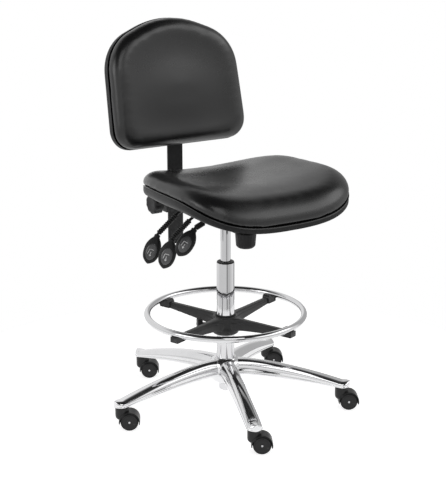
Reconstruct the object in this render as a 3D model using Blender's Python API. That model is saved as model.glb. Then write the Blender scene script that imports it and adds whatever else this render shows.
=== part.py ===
"""Drafting chair: five-arm caster base, gas lift, footring, three-lever control, seat and backrest.

Metres, +Z up. The sitter faces -Y, and the sitter's right hand, with the three paddles, is at -X.
Every piece hangs from the empty "chair", whose own origin is the column's axis at the floor, and
which is moved at the end so that the world origin is the middle of the chair's footprint.
"""

from math import cos, pi, radians, sin, tan

import bmesh
import bpy
from mathutils import Matrix, Vector

GAP = 0.0003                 # between pieces that touch
MERGE = 1e-6
SIDES = 24                   # facets of the column pieces
NO_TURN = (0, 0, 0)

# Base
ARM_COUNT = 5
ARM_REACH = 0.3295           # column axis to caster stem
FIRST_ARM = 178.2            # degrees, round from +X
ARM_TIP_RADIUS = 0.0215
TIP_SWINGS = (30, 55, 78)    # degrees round the arm's end at its last sections
ARM_TOP, ARM_TIP_TOP = 0.143, 0.0845
ARM_BOTTOM, ARM_TIP_BOTTOM = 0.100, 0.0665
ARM_START = 0.030
HUB_TOP, HUB_BOTTOM = 0.147, 0.076

# Casters
WHEEL_RADIUS = 0.025
WHEEL_SIDES = 20
WHEEL_HEIGHT = WHEEL_RADIUS * cos(pi / WHEEL_SIDES)
WHEEL_INNER, WHEEL_OUTER = 0.0037, 0.0200
CASTER_TRAIL = 0.020
CASTER_HEADING = -31.0       # degrees, the way the casters trail
HOOD_RADIUS = 0.0290
HOOD_BARREL = 0.0187
HOOD_TOP, HOOD_BOTTOM = 0.0662, 0.0290
HOOD_WIDTH = 0.0425
WELL_RADIUS = 0.0262
WEB = 0.0060                 # wall between the two wheels
STEM_RADIUS = 0.0050
AXLE_RADIUS = 0.0027

# Column and gas lift
TUBE_RADIUS, TUBE_BORE = 0.0250, 0.0230
TUBE_TOP, TUBE_FOOT = 0.424, 0.050
STUB_RADIUS = 0.0187
ROD_RADIUS = 0.0050
ROD_BOTTOM, ROD_TOP = 0.0450, 0.460
CYLINDER_RADIUS, CYLINDER_BORE = 0.0140, 0.0115
CYLINDER_BOTTOM, CYLINDER_TOP = 0.195, 0.575
BUSH_LENGTH = 0.062

# Footring
RING_HEIGHT = 0.2755
RING_OUTER = 0.2286
RING_TUBE = 0.0090
RING_FACETS = 48
SPOKE_COUNT, FIRST_SPOKE = 4, 20.0
SPOKE_HALF = 0.0085
CLIP_HALF = 0.0115
CLIP_BOTTOM, CLIP_TOP, LIP_TOP = 0.2520, 0.2765, 0.2690
COLLAR_RADIUS = 0.0284
SPIDER_TOP, SPIDER_BOTTOM = 0.2700, 0.2180
SPIDER_RADIUS, SPIDER_FOOT = 0.0355, 0.0385
FOOTRING_KNOB_TURN = 157.0
FOOTRING_KNOB_HEIGHT = 0.2470

# Control under the seat
BOX_HALF = 0.0450
BOX_FRONT, BOX_REAR = -0.120, 0.115
BOX_FLOOR, BOX_TOP = 0.540, 0.583
SHEET = 0.0025
TILT_AXIS = (0.0, -0.035, 0.5745)
BACK_AXIS = (0.0, 0.098, 0.5620)
SHAFT_RADIUS = 0.0050
LEVER_HEIGHT = 0.5720
TENSION_Y = -0.100
PLATE_BOTTOM, PLATE_TOP = 0.6000, 0.6035
PLATE_FRONT, PLATE_REAR = -0.125, 0.058
BUTTON_TOP = 0.5805

# Levers: how far back each one sits, where its rod ends and how steeply rod and paddle hang
LEVERS = (
    {"name": "back", "y": 0.070, "inner": (-0.030, 0.0), "neck": -0.174, "rod_fall": 37.5,
     "paddle_fall": 66.0},
    {"name": "height", "y": 0.000, "inner": (-0.004, 0.0131), "neck": -0.169, "rod_fall": 37.5,
     "paddle_fall": 69.0},
    {"name": "tilt", "y": -0.065, "inner": (-0.030, 0.0), "neck": -0.138, "rod_fall": 22.0,
     "paddle_fall": 52.0},
)
ROD_BEND = -0.100
CONTROL_ROD = 0.0040
PADDLE_LENGTH, PADDLE_HALF, PADDLE_THICK = 0.081, 0.0230, 0.019
NECK_CLEAR, SOCKET_DEPTH = 0.0058, 0.0180
SLEEVE_SHORT = 0.0018        # how far a sleeve ends before its rod's last bend
PADDLE_TWIST = 40.0          # degrees that the paddle's face turns outwards from straight ahead

# Upright and backrest
BAR_Y = 0.2685               # middle of the upright's thickness
BAR_HALF, BAR_THICK = 0.0250, 0.0070
BAR_BOTTOM = 0.415
SLEEVE_BOTTOM, SLEEVE_TOP = 0.515, 0.588
HEIGHT_KNOB_Z = 0.5450
BACK_FOOT = (0.0, 0.2570, 0.7130)
BACK_RECLINE = 12.0          # degrees
BACK_HOLLOW = 0.012          # how far the sides of the backrest come forward
SHELL_FRONT, SHELL_REAR = -0.008, 0.020
BAR_CLEAR = 0.0046            # backrest frame to the front of the bar's bent part
# Corners of half the backrest outline, (across, up, corner radius), from the foot to the crown
BACK_CORNERS = ((0.2150, 0.0, 0.056), (0.2040, 0.2960, 0.125), (0.0, 0.3800, 0.250))

# Seat
SEAT_FRONT, SEAT_REAR = -0.314, 0.169
SEAT_HALF = 0.245
SEAT_SEAM = 0.645
FRONT_DROP, REAR_DROP, SIDE_RISE = 0.034, 0.032, 0.019
PAN_BAND = 0.029
PAN_FLOOR = 0.6038
CUSHION_EDGE, CUSHION_DISH = 0.045, 0.018
SEAT_POINTS = 36


def clear_scene():
    """Remove whatever the open file holds."""
    for thing in list(bpy.data.objects):
        bpy.data.objects.remove(thing, do_unlink=True)


def finish(name, colour, roughness, metallic):
    """A Principled material."""
    material = bpy.data.materials.new(name)
    material.use_nodes = True
    shader = material.node_tree.nodes["Principled BSDF"]
    shader.inputs["Base Color"].default_value = (*colour, 1.0)
    shader.inputs["Roughness"].default_value = roughness
    shader.inputs["Metallic"].default_value = metallic
    return material


def empty(name, parent=None, location=(0, 0, 0), rotation=NO_TURN):
    """An empty that carries a group of pieces on its own axis."""
    holder = bpy.data.objects.new(name, None)
    bpy.context.scene.collection.objects.link(holder)
    holder.parent = parent
    holder.location = location
    holder.rotation_euler = rotation
    return holder


def piece(name, verts, faces, material, parent, location=(0, 0, 0), rotation=NO_TURN):
    """One named object from vertices and faces, closed and facing outwards."""
    bm = bmesh.new()
    points = [bm.verts.new(v) for v in verts]
    for face in faces:
        bm.faces.new([points[i] for i in face])
    bmesh.ops.remove_doubles(bm, verts=bm.verts, dist=MERGE)
    bmesh.ops.recalc_face_normals(bm, faces=bm.faces)
    mesh = bpy.data.meshes.new(name)
    bm.to_mesh(mesh)
    bm.free()
    mesh.shade_smooth()
    mesh.set_sharp_from_angle(angle=radians(35))
    if material:
        mesh.materials.append(material)
    thing = bpy.data.objects.new(name, mesh)
    bpy.context.scene.collection.objects.link(thing)
    thing.parent = parent
    thing.location = location
    thing.rotation_euler = rotation
    return thing


def skin(rings, wrap=False):
    """Vertices and faces of a surface through rings of equal count, capped unless it wraps."""
    count = len(rings[0])
    verts = [point for ring in rings for point in ring]
    faces = []
    for i in range(len(rings) if wrap else len(rings) - 1):
        low = i * count
        high = ((i + 1) % len(rings)) * count
        for j in range(count):
            k = (j + 1) % count
            faces.append((low + j, low + k, high + k, high + j))
    if not wrap:
        faces.append(tuple(range(count)))
        faces.append(tuple(range(len(verts) - count, len(verts))))
    return verts, faces


def round_ring(radius, height, sides):
    """A ring of points round Z, with a facet and not a corner at each side."""
    turns = [2 * pi * (j + 0.5) / sides for j in range(sides)]
    return [(radius * cos(a), radius * sin(a), height) for a in turns]


def turned(name, profile, material, parent, sides=SIDES, hollow=False, **place):
    """A turned piece from (radius, height) points: a closed loop if hollow, else a stack."""
    rings = [round_ring(radius, height, sides) for radius, height in profile]
    return piece(name, *skin(rings, wrap=hollow), material, parent, **place)


def block(name, low, high, material, parent, **place):
    """A rectangular block between two corners."""
    rings = [[(low[0], low[1], z), (high[0], low[1], z), (high[0], high[1], z), (low[0], high[1], z)]
             for z in (low[2], high[2])]
    return piece(name, *skin(rings), material, parent, **place)


def rod_along(name, path, radius, material, parent, sides=10):
    """A round bar swept along points, with a mitred ring at each one."""
    points = [Vector(p) for p in path]
    rings = []
    side = Vector((0, 1, 0))
    for i, point in enumerate(points):
        before = (point - points[i - 1]).normalized() if i else (points[1] - point).normalized()
        after = (points[i + 1] - point).normalized() if i + 1 < len(points) else before
        along = (before + after).normalized()
        stretch = 1 / max(along.dot(before), 0.5)
        up = along.cross(side).normalized()
        rings.append([point + side * radius * cos(a) + up * radius * stretch * sin(a)
                      for a in (2 * pi * (j + 0.5) / sides for j in range(sides))])
    return piece(name, *skin(rings), material, parent)


def join_or_cut(target, tool, operation):
    """Join a guide body to a piece or cut it away, with an exact Boolean."""
    tool.hide_render = True
    tool.display_type = "WIRE"
    step = target.modifiers.new(tool.name, "BOOLEAN")
    step.operation = operation
    step.object = tool
    step.solver = "EXACT"


def fluted(radius, depth, lobes, steps):
    """Outline of a knob with rounded lobes."""
    turns = [2 * pi * j / (lobes * steps) for j in range(lobes * steps)]
    return [(r * cos(a), r * sin(a)) for a in turns for r in (radius - depth * (1 - cos(lobes * a)) / 2,)]


def knob(name, outline, levels, screw, material, parent, **place):
    """A knob about Z: scaled copies of its outline at (height, scale), then a screw below it."""
    rings = [[(x * scale, y * scale, height) for x, y in outline] for height, scale in levels]
    head = piece(name, *skin(rings), material, parent, **place)
    radius, low, high = screw
    stud = turned(name + "_stud", [(radius, low), (radius, high)], None, parent, sides=12, **place)
    join_or_cut(head, stud, "UNION")
    return head


# Base and casters

def arm_section(reach):
    """Half width, top and bottom of a base arm at a distance from the column's axis."""
    share = (reach - ARM_START) / (ARM_REACH - ARM_START)
    fall = share ** 1.15
    half = 0.0240 - 0.0025 * min(share, 1.0)
    top = ARM_TOP + (ARM_TIP_TOP - ARM_TOP) * fall
    bottom = ARM_BOTTOM + (ARM_TIP_BOTTOM - ARM_BOTTOM) * min(share, 1.0) ** 1.3
    return half, max(top, ARM_TIP_TOP), bottom


def arm_ring(reach, half, top, bottom):
    """Section of an arm: flat crown, bevelled shoulders and upright sides."""
    shoulder = (top - bottom) * 0.28
    return [(reach, -half, bottom), (reach, half, bottom), (reach, half, top - shoulder),
            (reach, half * 0.5, top), (reach, -half * 0.5, top), (reach, -half, top - shoulder)]


def build_arm(turn, parent):
    """One arm of the star, running out along its own +X, with a round tip."""
    straight = [ARM_START + (ARM_REACH - ARM_START) * i / 8 for i in range(9)]
    rings = [arm_ring(reach, *arm_section(reach)) for reach in straight]
    for swing in TIP_SWINGS:
        a = radians(swing)
        reach = ARM_REACH + ARM_TIP_RADIUS * sin(a)
        rings.append(arm_ring(reach, ARM_TIP_RADIUS * cos(a), ARM_TIP_TOP, ARM_TIP_BOTTOM))
    return piece("arm_guide", *skin(rings), None, parent, rotation=(0, 0, turn))


def build_base(chair, metal, steel):
    """Cast star with a tapered hub bore and a stem socket in each tip."""
    hub = [(0.0252 + GAP, HUB_TOP), (0.0310, HUB_TOP), (0.0400, 0.139), (0.0465, 0.128), (0.0465, 0.099),
           (0.0350, HUB_BOTTOM), (0.0240 + GAP, HUB_BOTTOM)]
    star = turned("base_star", hub, metal, chair, hollow=True)
    for i in range(ARM_COUNT):
        turn = radians(FIRST_ARM + 360 * i / ARM_COUNT)
        join_or_cut(star, build_arm(turn, chair), "UNION")
    for i in range(ARM_COUNT):
        turn = radians(FIRST_ARM + 360 * i / ARM_COUNT)
        place = (ARM_REACH * cos(turn), ARM_REACH * sin(turn), 0)
        socket = turned("socket_guide", [(STEM_RADIUS + GAP, 0.060), (STEM_RADIUS + GAP, 0.0810)], None,
                        chair, sides=12, location=place)
        join_or_cut(star, socket, "DIFFERENCE")
        turned(f"stem_{i + 1}", [(STEM_RADIUS, 0.0500), (STEM_RADIUS, 0.0805)], steel, chair,
               sides=12, location=place)


def build_hood(number, holder, plastic):
    """Swivelling hood: a barrel round the stem and a fender over the wheels, joined by the web."""
    flat = (pi / 2, 0, 0)
    barrel = [(HOOD_BARREL - 0.004, HOOD_BOTTOM), (HOOD_BARREL, HOOD_BOTTOM + 0.005),
              (HOOD_BARREL, HOOD_TOP - GAP)]
    hood = turned(f"hood_{number}", barrel, plastic, holder, sides=16)
    half = HOOD_WIDTH / 2
    centre = (CASTER_TRAIL, 0, WHEEL_HEIGHT)
    fender = turned("fender_guide", [(HOOD_RADIUS, -half), (HOOD_RADIUS, half)], None, holder, sides=24,
                    location=centre, rotation=flat)
    join_or_cut(hood, fender, "UNION")
    below = block("below_guide", (-0.05, -0.05, -0.04), (0.08, 0.05, WHEEL_HEIGHT - 0.006), None, holder)
    join_or_cut(hood, below, "DIFFERENCE")
    for side in (-1, 1):
        reach = sorted((side * WEB / 2, side * 0.04))
        well = turned("well_guide", [(WELL_RADIUS, reach[0]), (WELL_RADIUS, reach[1])], None, holder,
                      sides=24, location=centre, rotation=flat)
        join_or_cut(hood, well, "DIFFERENCE")
    pin = turned("pin_guide", [(AXLE_RADIUS + GAP, -0.01), (AXLE_RADIUS + GAP, 0.01)], None, holder,
                 sides=12, location=centre, rotation=flat)
    join_or_cut(hood, pin, "DIFFERENCE")
    socket = turned("stem_guide", [(STEM_RADIUS + GAP, 0.0497), (STEM_RADIUS + GAP, 0.080)], None, holder,
                    sides=12)
    join_or_cut(hood, socket, "DIFFERENCE")


def build_caster(number, place, chair, plastic, steel):
    """One twin-wheel caster: hood, axle and two wheels, all trailing along the holder's +X."""
    holder = empty(f"caster_{number}", chair, place, (0, 0, radians(CASTER_HEADING)))
    build_hood(number, holder, plastic)
    centre = (CASTER_TRAIL, 0, WHEEL_HEIGHT)
    turned(f"axle_{number}", [(AXLE_RADIUS, -0.0194), (AXLE_RADIUS, 0.0194)], steel, holder, sides=12,
           location=centre, rotation=(pi / 2, 0, 0))
    bore = AXLE_RADIUS + GAP
    rim = [(bore, WHEEL_INNER), (0.0240, WHEEL_INNER), (WHEEL_RADIUS, WHEEL_INNER + 0.0015),
           (WHEEL_RADIUS, WHEEL_OUTER - 0.003), (0.0225, WHEEL_OUTER), (bore, WHEEL_OUTER)]
    for label, turn in (("right", pi / 2), ("left", -pi / 2)):
        turned(f"wheel_{number}_{label}", rim, plastic, holder, sides=WHEEL_SIDES, hollow=True,
               location=centre, rotation=(turn, 0, 0))


# Column and gas lift

def build_column(chair, chrome, plastic, steel):
    """Outer tube with its guide bush, and the rod, bearing and clip in its foot."""
    tube = [(TUBE_BORE, TUBE_TOP), (TUBE_RADIUS, TUBE_TOP), (TUBE_RADIUS, 0.150), (0.0252, HUB_TOP),
            (0.0240, HUB_BOTTOM), (0.0232, 0.072), (STUB_RADIUS, 0.068), (STUB_RADIUS, 0.052),
            (0.0175, TUBE_FOOT), (0.0056, TUBE_FOOT), (0.0056, 0.056), (0.0160, 0.056), (0.0160, 0.070),
            (0.0215, 0.080), (TUBE_BORE, 0.155)]
    turned("column_tube", tube, chrome, chair, hollow=True)
    bore = CYLINDER_RADIUS + GAP
    bush = [(bore, TUBE_TOP + 0.003), (0.0238, TUBE_TOP + 0.003), (0.0238, TUBE_TOP + GAP),
            (TUBE_BORE - GAP, TUBE_TOP + GAP), (TUBE_BORE - GAP, TUBE_TOP - BUSH_LENGTH),
            (bore, TUBE_TOP - BUSH_LENGTH)]
    turned("guide_bush", bush, plastic, chair, hollow=True)
    race = [(0.0056, 0.0563), (0.0125, 0.0563), (0.0125, 0.0613), (0.0056, 0.0613)]
    turned("thrust_bearing", race, steel, chair, sides=20, hollow=True)


def build_lift(chair, spindle, lift, chrome, plastic, steel):
    """Piston rod on the spindle, gas cylinder and valve button on the lift."""
    rod = [(ROD_RADIUS, ROD_BOTTOM), (ROD_RADIUS, 0.0616), (0.0090, 0.0616), (0.0090, 0.0656),
           (ROD_RADIUS, 0.0656), (ROD_RADIUS, ROD_TOP - 0.008), (0.0108, ROD_TOP - 0.008), (0.0108, ROD_TOP)]
    turned("piston_rod", rod, steel, spindle, sides=16)
    clip = [(ROD_RADIUS + GAP, 0.0457), (0.0100, 0.0457), (0.0100, TUBE_FOOT - GAP),
            (ROD_RADIUS + GAP, TUBE_FOOT - GAP)]
    turned("rod_clip", clip, steel, spindle, sides=16, hollow=True)
    body = [(0.0054, CYLINDER_BOTTOM), (CYLINDER_RADIUS, CYLINDER_BOTTOM), (CYLINDER_RADIUS, 0.572),
            (0.0125, CYLINDER_TOP), (0.0033, CYLINDER_TOP), (0.0033, 0.5590), (0, 0.5590), (0, 0.5550),
            (CYLINDER_BORE, 0.5550), (CYLINDER_BORE, CYLINDER_BOTTOM + 0.006),
            (0.0054, CYLINDER_BOTTOM + 0.006)]
    turned("gas_cylinder", body, chrome, lift, sides=24, hollow=True)
    turned("valve_button", [(0.0030, 0.5640), (0.0030, BUTTON_TOP)], plastic, lift, sides=12)


# Footring

def build_spoke(turn, parent):
    """One spoke of the footring carrier, with the clip that holds the ring from below."""
    start, end = 0.030, RING_OUTER - RING_TUBE - 0.0165
    rings = []
    for share in (0.0, 0.35, 1.0):
        reach = start + (end - start) * share
        low = SPIDER_BOTTOM + 0.016 + share * 0.018
        high = SPIDER_TOP - 0.001
        wide = SPOKE_HALF
        rings.append([(reach, -wide, low), (reach, wide, low), (reach, wide, high - 0.003),
                      (reach, wide * 0.6, high), (reach, -wide * 0.6, high), (reach, -wide, high - 0.003)])
    guide = piece("spoke_guide", *skin(rings), None, parent, rotation=(0, 0, turn))
    clip = block("clip_guide", (end - 0.004, -CLIP_HALF, CLIP_BOTTOM),
                 (RING_OUTER - RING_TUBE, CLIP_HALF, CLIP_TOP), None, parent, rotation=(0, 0, turn))
    lip = block("lip_guide", (end + 0.010, 0.0007 - CLIP_HALF, CLIP_BOTTOM + 0.0008),
                (RING_OUTER + 0.0015, CLIP_HALF - 0.0007, LIP_TOP), None, parent, rotation=(0, 0, turn))
    return guide, clip, lip


def ring_solid(name, radius, tube, material, parent, around, sides):
    """A torus about Z."""
    rings = []
    for i in range(around):
        a = 2 * pi * i / around
        rings.append([((radius + tube * cos(b)) * cos(a), (radius + tube * cos(b)) * sin(a), tube * sin(b))
                      for b in (2 * pi * j / sides for j in range(sides))])
    return piece(name, *skin(rings, wrap=True), material, parent, location=(0, 0, RING_HEIGHT))


def build_footring(collar, ring, chrome, plastic):
    """Split collar on the tube; spider and ring that turn on it; clamp knob through the hub."""
    sleeve = [(TUBE_RADIUS + GAP, SPIDER_TOP + 0.004), (COLLAR_RADIUS, SPIDER_TOP + 0.004),
              (COLLAR_RADIUS, SPIDER_BOTTOM), (TUBE_RADIUS + GAP, SPIDER_BOTTOM)]
    turned("footring_collar", sleeve, plastic, collar, hollow=True)
    centre = RING_OUTER - RING_TUBE
    ring_solid("footring_tube", centre, RING_TUBE, chrome, ring, around=RING_FACETS, sides=8)
    bore = COLLAR_RADIUS + GAP
    hub = [(bore, SPIDER_TOP), (SPIDER_RADIUS, SPIDER_TOP), (SPIDER_RADIUS, SPIDER_BOTTOM + 0.022),
           (SPIDER_FOOT, SPIDER_BOTTOM + 0.016), (SPIDER_FOOT, SPIDER_BOTTOM + 0.005),
           (SPIDER_FOOT - 0.005, SPIDER_BOTTOM), (bore, SPIDER_BOTTOM)]
    spider = turned("footring_spider", hub, plastic, ring, hollow=True)
    for i in range(SPOKE_COUNT):
        turn = radians(FIRST_SPOKE + 360 * i / SPOKE_COUNT)
        for guide in build_spoke(turn, ring):
            join_or_cut(spider, guide, "UNION")
    groove = ring_solid("groove_guide", centre, RING_TUBE + GAP, None, ring, around=RING_FACETS, sides=8)
    join_or_cut(spider, groove, "DIFFERENCE")
    turn = radians(FOOTRING_KNOB_TURN)
    way = Matrix.Rotation(turn, 4, "Z") @ Matrix.Rotation(pi / 2, 4, "Y")
    screw = turned("screw_guide", [(0.0043, 0.020), (0.0043, 0.050)], None, ring, sides=12,
                   location=(0, 0, FOOTRING_KNOB_HEIGHT), rotation=way.to_euler())
    join_or_cut(spider, screw, "DIFFERENCE")
    knob("footring_knob", fluted(0.0195, 0.0045, 5, 6),
         ((0.0655, 0.80), (0.0675, 1.0), (0.0785, 1.0), (0.0810, 0.80)),
         (0.0040, COLLAR_RADIUS + GAP * 2, 0.0700), plastic, ring,
         location=(0, 0, FOOTRING_KNOB_HEIGHT), rotation=way.to_euler())


# Control

def build_housing(lift, steel):
    """Pressed box, open at the top and the rear, with the taper socket and the shaft holes."""
    box = block("control_housing", (-BOX_HALF, BOX_FRONT, BOX_FLOOR), (BOX_HALF, BOX_REAR, BOX_TOP),
                steel, lift)
    inside = block("inside_guide", (SHEET - BOX_HALF, BOX_FRONT + SHEET, BOX_FLOOR + SHEET),
                   (BOX_HALF - SHEET, BOX_REAR + 0.02, BOX_TOP + 0.02), None, lift)
    join_or_cut(box, inside, "DIFFERENCE")
    boss = turned("boss_guide", [(0.0190, 0.5320), (0.0190, 0.5710)], None, lift, sides=24)
    join_or_cut(box, boss, "UNION")
    bore = turned("bore_guide", [(CYLINDER_RADIUS + GAP, 0.52), (CYLINDER_RADIUS + GAP, 0.58)], None, lift,
                  sides=24)
    join_or_cut(box, bore, "DIFFERENCE")
    across = (0, pi / 2, 0)
    for place in (TILT_AXIS, BACK_AXIS):
        hole = turned("shaft_guide", [(SHAFT_RADIUS + GAP, -0.06), (SHAFT_RADIUS + GAP, 0.06)], None, lift,
                      sides=12, location=place, rotation=across)
        join_or_cut(box, hole, "DIFFERENCE")
    for lever in LEVERS:
        hole = turned("lever_guide", [(0.0055, -0.006), (0.0055, 0.006)], None, lift, sides=12,
                      location=(-BOX_HALF, lever["y"], LEVER_HEIGHT), rotation=across)
        join_or_cut(box, hole, "DIFFERENCE")
    drill = turned("tension_guide", [(0.0046, 0.52), (0.0046, 0.56)], None, lift, sides=12,
                   location=(0, TENSION_Y, 0))
    join_or_cut(box, drill, "DIFFERENCE")


def coil(name, place, radius, wire, pitch, turns, material, parent):
    """A coil spring about Z: a wire carried round a helix, with a ring of five points a step."""
    steps = 10
    rings = []
    for i in range(int(turns * steps) + 1):
        a = 2 * pi * i / steps
        out = Vector((cos(a), sin(a), 0))
        centre = out * radius + Vector((0, 0, wire + pitch * i / steps))
        rings.append([centre + out * wire * cos(b) + Vector((0, 0, wire * sin(b)))
                      for b in (2 * pi * j / 5 for j in range(5))])
    return piece(name, *skin(rings), material, parent, location=place)


def build_control(lift, tilt, tension, steel, plastic):
    """Housing, shafts, spring and knob, and the plate that tilts with the seat."""
    build_housing(lift, steel)
    across = (0, pi / 2, 0)
    turned("tilt_shaft", [(SHAFT_RADIUS, -0.0525), (SHAFT_RADIUS, 0.0525)], steel, lift, sides=12,
           location=TILT_AXIS, rotation=across)
    turned("back_shaft", [(SHAFT_RADIUS, -0.0480), (SHAFT_RADIUS, 0.0480)], steel, lift, sides=12,
           location=BACK_AXIS, rotation=across)
    coil("tilt_spring", (0, TENSION_Y, BOX_FLOOR + SHEET + GAP), 0.0090, 0.0020, 0.0072, 4, steel, lift)
    rim = [(0.0290 * cos(a), 0.0290 * sin(a)) for a in (2 * pi * (j + 0.5) / 24 for j in range(24))]
    knob("tension_knob", rim, ((0.490, 0.78), (0.495, 0.90), (0.531, 1.0), (0.534, 0.97)),
         (0.0040, 0.530, 0.5780), plastic, tension)

    x, y, z = TILT_AXIS
    plate = block("seat_plate", (-0.075, PLATE_FRONT - y, PLATE_BOTTOM - z),
                  (0.075, PLATE_REAR - y, PLATE_TOP - z), steel, tilt)
    for side in (-1, 1):
        reach = sorted((side * (BOX_HALF + 0.0010), side * (BOX_HALF + 0.0045)))
        lug = block("lug_guide", (reach[0], -0.0095, -0.0090), (reach[1], 0.0095, PLATE_BOTTOM - z + 0.001),
                    None, tilt)
        join_or_cut(plate, lug, "UNION")
    eye = turned("eye_guide", [(SHAFT_RADIUS + GAP, -0.06), (SHAFT_RADIUS + GAP, 0.06)], None, tilt, sides=12,
                 rotation=across)
    join_or_cut(plate, eye, "DIFFERENCE")


def build_lever(lever, lift, steel, rubber, plastic):
    """A bent control rod, its ribbed sleeve and its egg-shaped paddle, on a holder at the pivot."""
    pivot = (-BOX_HALF + SHEET / 2, lever["y"], LEVER_HEIGHT)
    holder = empty(lever["name"] + "_lever", lift, pivot)
    inner, rise = lever["inner"]
    fall = radians(lever["rod_fall"])
    bend = ROD_BEND - pivot[0]
    neck = lever["neck"] - pivot[0]
    drop = (bend - neck) * tan(fall)
    start = (inner - pivot[0], 0, rise)
    tail = paddle_way(lever) * SOCKET_DEPTH
    path = [start, (0.004, 0, 0), (bend + 0.012, 0, 0), (bend - 0.008, 0, -0.008 * tan(fall)),
            (neck, 0, -drop), (neck + tail.x, 0, -drop + tail.z)]
    rod_along(lever["name"] + "_rod", path, CONTROL_ROD, steel, holder)

    along = Vector((-cos(fall), 0, -sin(fall)))
    end = Vector((neck, 0, -drop))
    span = (end - Vector((bend - 0.008, 0, -0.008 * tan(fall)))).length
    sleeve = []
    inner_radius = CONTROL_ROD + GAP
    ribs = 5
    first = span * 0.35
    length = span - first - SLEEVE_SHORT
    for i in range(ribs):
        low = length * i / ribs
        sleeve += [(0.0062, low), (0.0078, low + 0.3 * length / ribs), (0.0078, low + 0.6 * length / ribs),
                   (0.0062, low + 0.9 * length / ribs)]
    sleeve += [(0.0062, length), (inner_radius, length), (inner_radius, 0)]
    aim = along.to_track_quat("Z", "Y").to_euler()
    turned(lever["name"] + "_sleeve", sleeve, rubber, holder, sides=12, hollow=True,
           location=end - along * (length + SLEEVE_SHORT), rotation=aim)

    build_paddle(lever, holder, end, plastic)


def paddle_way(lever):
    """The direction a paddle hangs in, from its neck to its tip."""
    fall = radians(lever["paddle_fall"])
    return Vector((-cos(fall), 0, -sin(fall)))


def build_paddle(lever, holder, end, plastic):
    """Egg outline from the neck to the tip, rounded round its thickness, with a bore for the rod."""
    along = paddle_way(lever)
    ahead = Vector((0, -1, 0))
    face = Matrix.Rotation(radians(PADDLE_TWIST), 3, along) @ ahead
    wide = along.cross(face).normalized()
    rings = []
    count = 12
    for share in (0.0, 0.06, 0.18, 0.34, 0.52, 0.70, 0.85, 0.95, 1.0):
        half = egg_half(share)
        thick = PADDLE_THICK / 2 * (0.80 + 0.20 * sin(pi * min(share * 1.1, 0.5))) * (1 - 0.45 * share ** 4)
        centre = end + along * (NECK_CLEAR + PADDLE_LENGTH * share)
        ring = []
        for j in range(count):
            a = 2 * pi * (j + 0.5) / count
            across = half * abs(cos(a)) ** 0.7 * (1 if cos(a) > 0 else -1)
            out = thick * abs(sin(a)) ** 0.7 * (1 if sin(a) > 0 else -1)
            ring.append(centre + wide * across + face * out)
        rings.append(ring)
    paddle = piece(lever["name"] + "_paddle", *skin(rings), plastic, holder)
    bore = turned("paddle_bore", [(CONTROL_ROD + GAP, -0.004), (CONTROL_ROD + GAP, SOCKET_DEPTH + GAP)], None,
                  holder, sides=12, location=end, rotation=along.to_track_quat("Z", "Y").to_euler())
    join_or_cut(paddle, bore, "DIFFERENCE")


def egg_half(share):
    """Half width of a paddle along its length: a narrow neck that swells into an egg."""
    neck = 0.0085
    swell = (1 - abs(2 * (0.5 * share + 0.5 * share ** 0.8) - 1.12) ** 2.4) if share < 1 else 0.2
    return max(neck if share < 0.2 else 0.2 * PADDLE_HALF, PADDLE_HALF * max(swell, 0.0))


# Upright and backrest

def build_bracket(back, steel):
    """Arm from the back shaft to the sleeve that the upright slides in."""
    x, y, z = BACK_AXIS
    half = 0.0340
    arm = block("back_bracket", (-half, 0.002, -0.0125), (half, BAR_Y - y - 0.008, -0.0010), steel, back)
    eye = turned("boss_guide", [(0.0105, -half), (0.0105, half)], None, back,
                 sides=16, rotation=(0, pi / 2, 0))
    join_or_cut(arm, eye, "UNION")
    near, far = BAR_Y - y - 0.011, BAR_Y - y + 0.011
    sleeve = block("sleeve_guide", (-0.036, near, SLEEVE_BOTTOM - z), (0.036, far, SLEEVE_TOP - z), None, back)
    join_or_cut(arm, sleeve, "UNION")
    play = 0.0004
    slot = block("slot_guide", (-BAR_HALF - play, BAR_Y - y - BAR_THICK / 2 - play, -0.10),
                 (BAR_HALF + play, BAR_Y - y + BAR_THICK / 2 + play, 0.10), None, back)
    join_or_cut(arm, slot, "DIFFERENCE")
    hole = turned("shaft_guide", [(SHAFT_RADIUS + GAP, -0.06), (SHAFT_RADIUS + GAP, 0.06)], None, back,
                  sides=12, rotation=(0, pi / 2, 0))
    join_or_cut(arm, hole, "DIFFERENCE")
    screw = turned("screw_guide", [(0.0036, 0.020), (0.0036, 0.040)], None, back, sides=12,
                   location=(0, BAR_Y - y, HEIGHT_KNOB_Z - z), rotation=(0, -pi / 2, 0))
    join_or_cut(arm, screw, "DIFFERENCE")


def bar_ring(y, z, slope):
    """Section of the flat bar at a point of its centre line, square to its slope."""
    half = BAR_THICK / 2
    step = 0.0015
    outline = ((-BAR_HALF, -half + step), (-BAR_HALF + step, -half), (BAR_HALF - step, -half),
               (BAR_HALF, -half + step), (BAR_HALF, half - step), (BAR_HALF - step, half),
               (-BAR_HALF + step, half), (-BAR_HALF, half - step))
    return [(across, y + out * cos(slope), z - out * sin(slope)) for across, out in outline]


def build_upright(upright, steel):
    """Flat bar: straight through the sleeve, then bent back behind the backrest."""
    lean = radians(BACK_RECLINE)
    clear = BAR_CLEAR + BAR_THICK / 2
    bend_up = (BAR_Y - BACK_FOOT[1] - clear * cos(lean)) / sin(lean)
    bend_z = BACK_FOOT[2] - clear * sin(lean) + bend_up * cos(lean)
    rings = [bar_ring(BAR_Y, BAR_BOTTOM, 0), bar_ring(BAR_Y, bend_z - 0.020, 0)]
    rings.append(bar_ring(BAR_Y + 0.0004, bend_z, lean / 2))
    for up in (bend_up + 0.020, 0.215):
        y = BACK_FOOT[1] + clear * cos(lean) + up * sin(lean)
        z = BACK_FOOT[2] - clear * sin(lean) + up * cos(lean)
        rings.append(bar_ring(y, z, lean))
    piece("upright_bar", *skin(rings), steel, upright)


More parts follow.
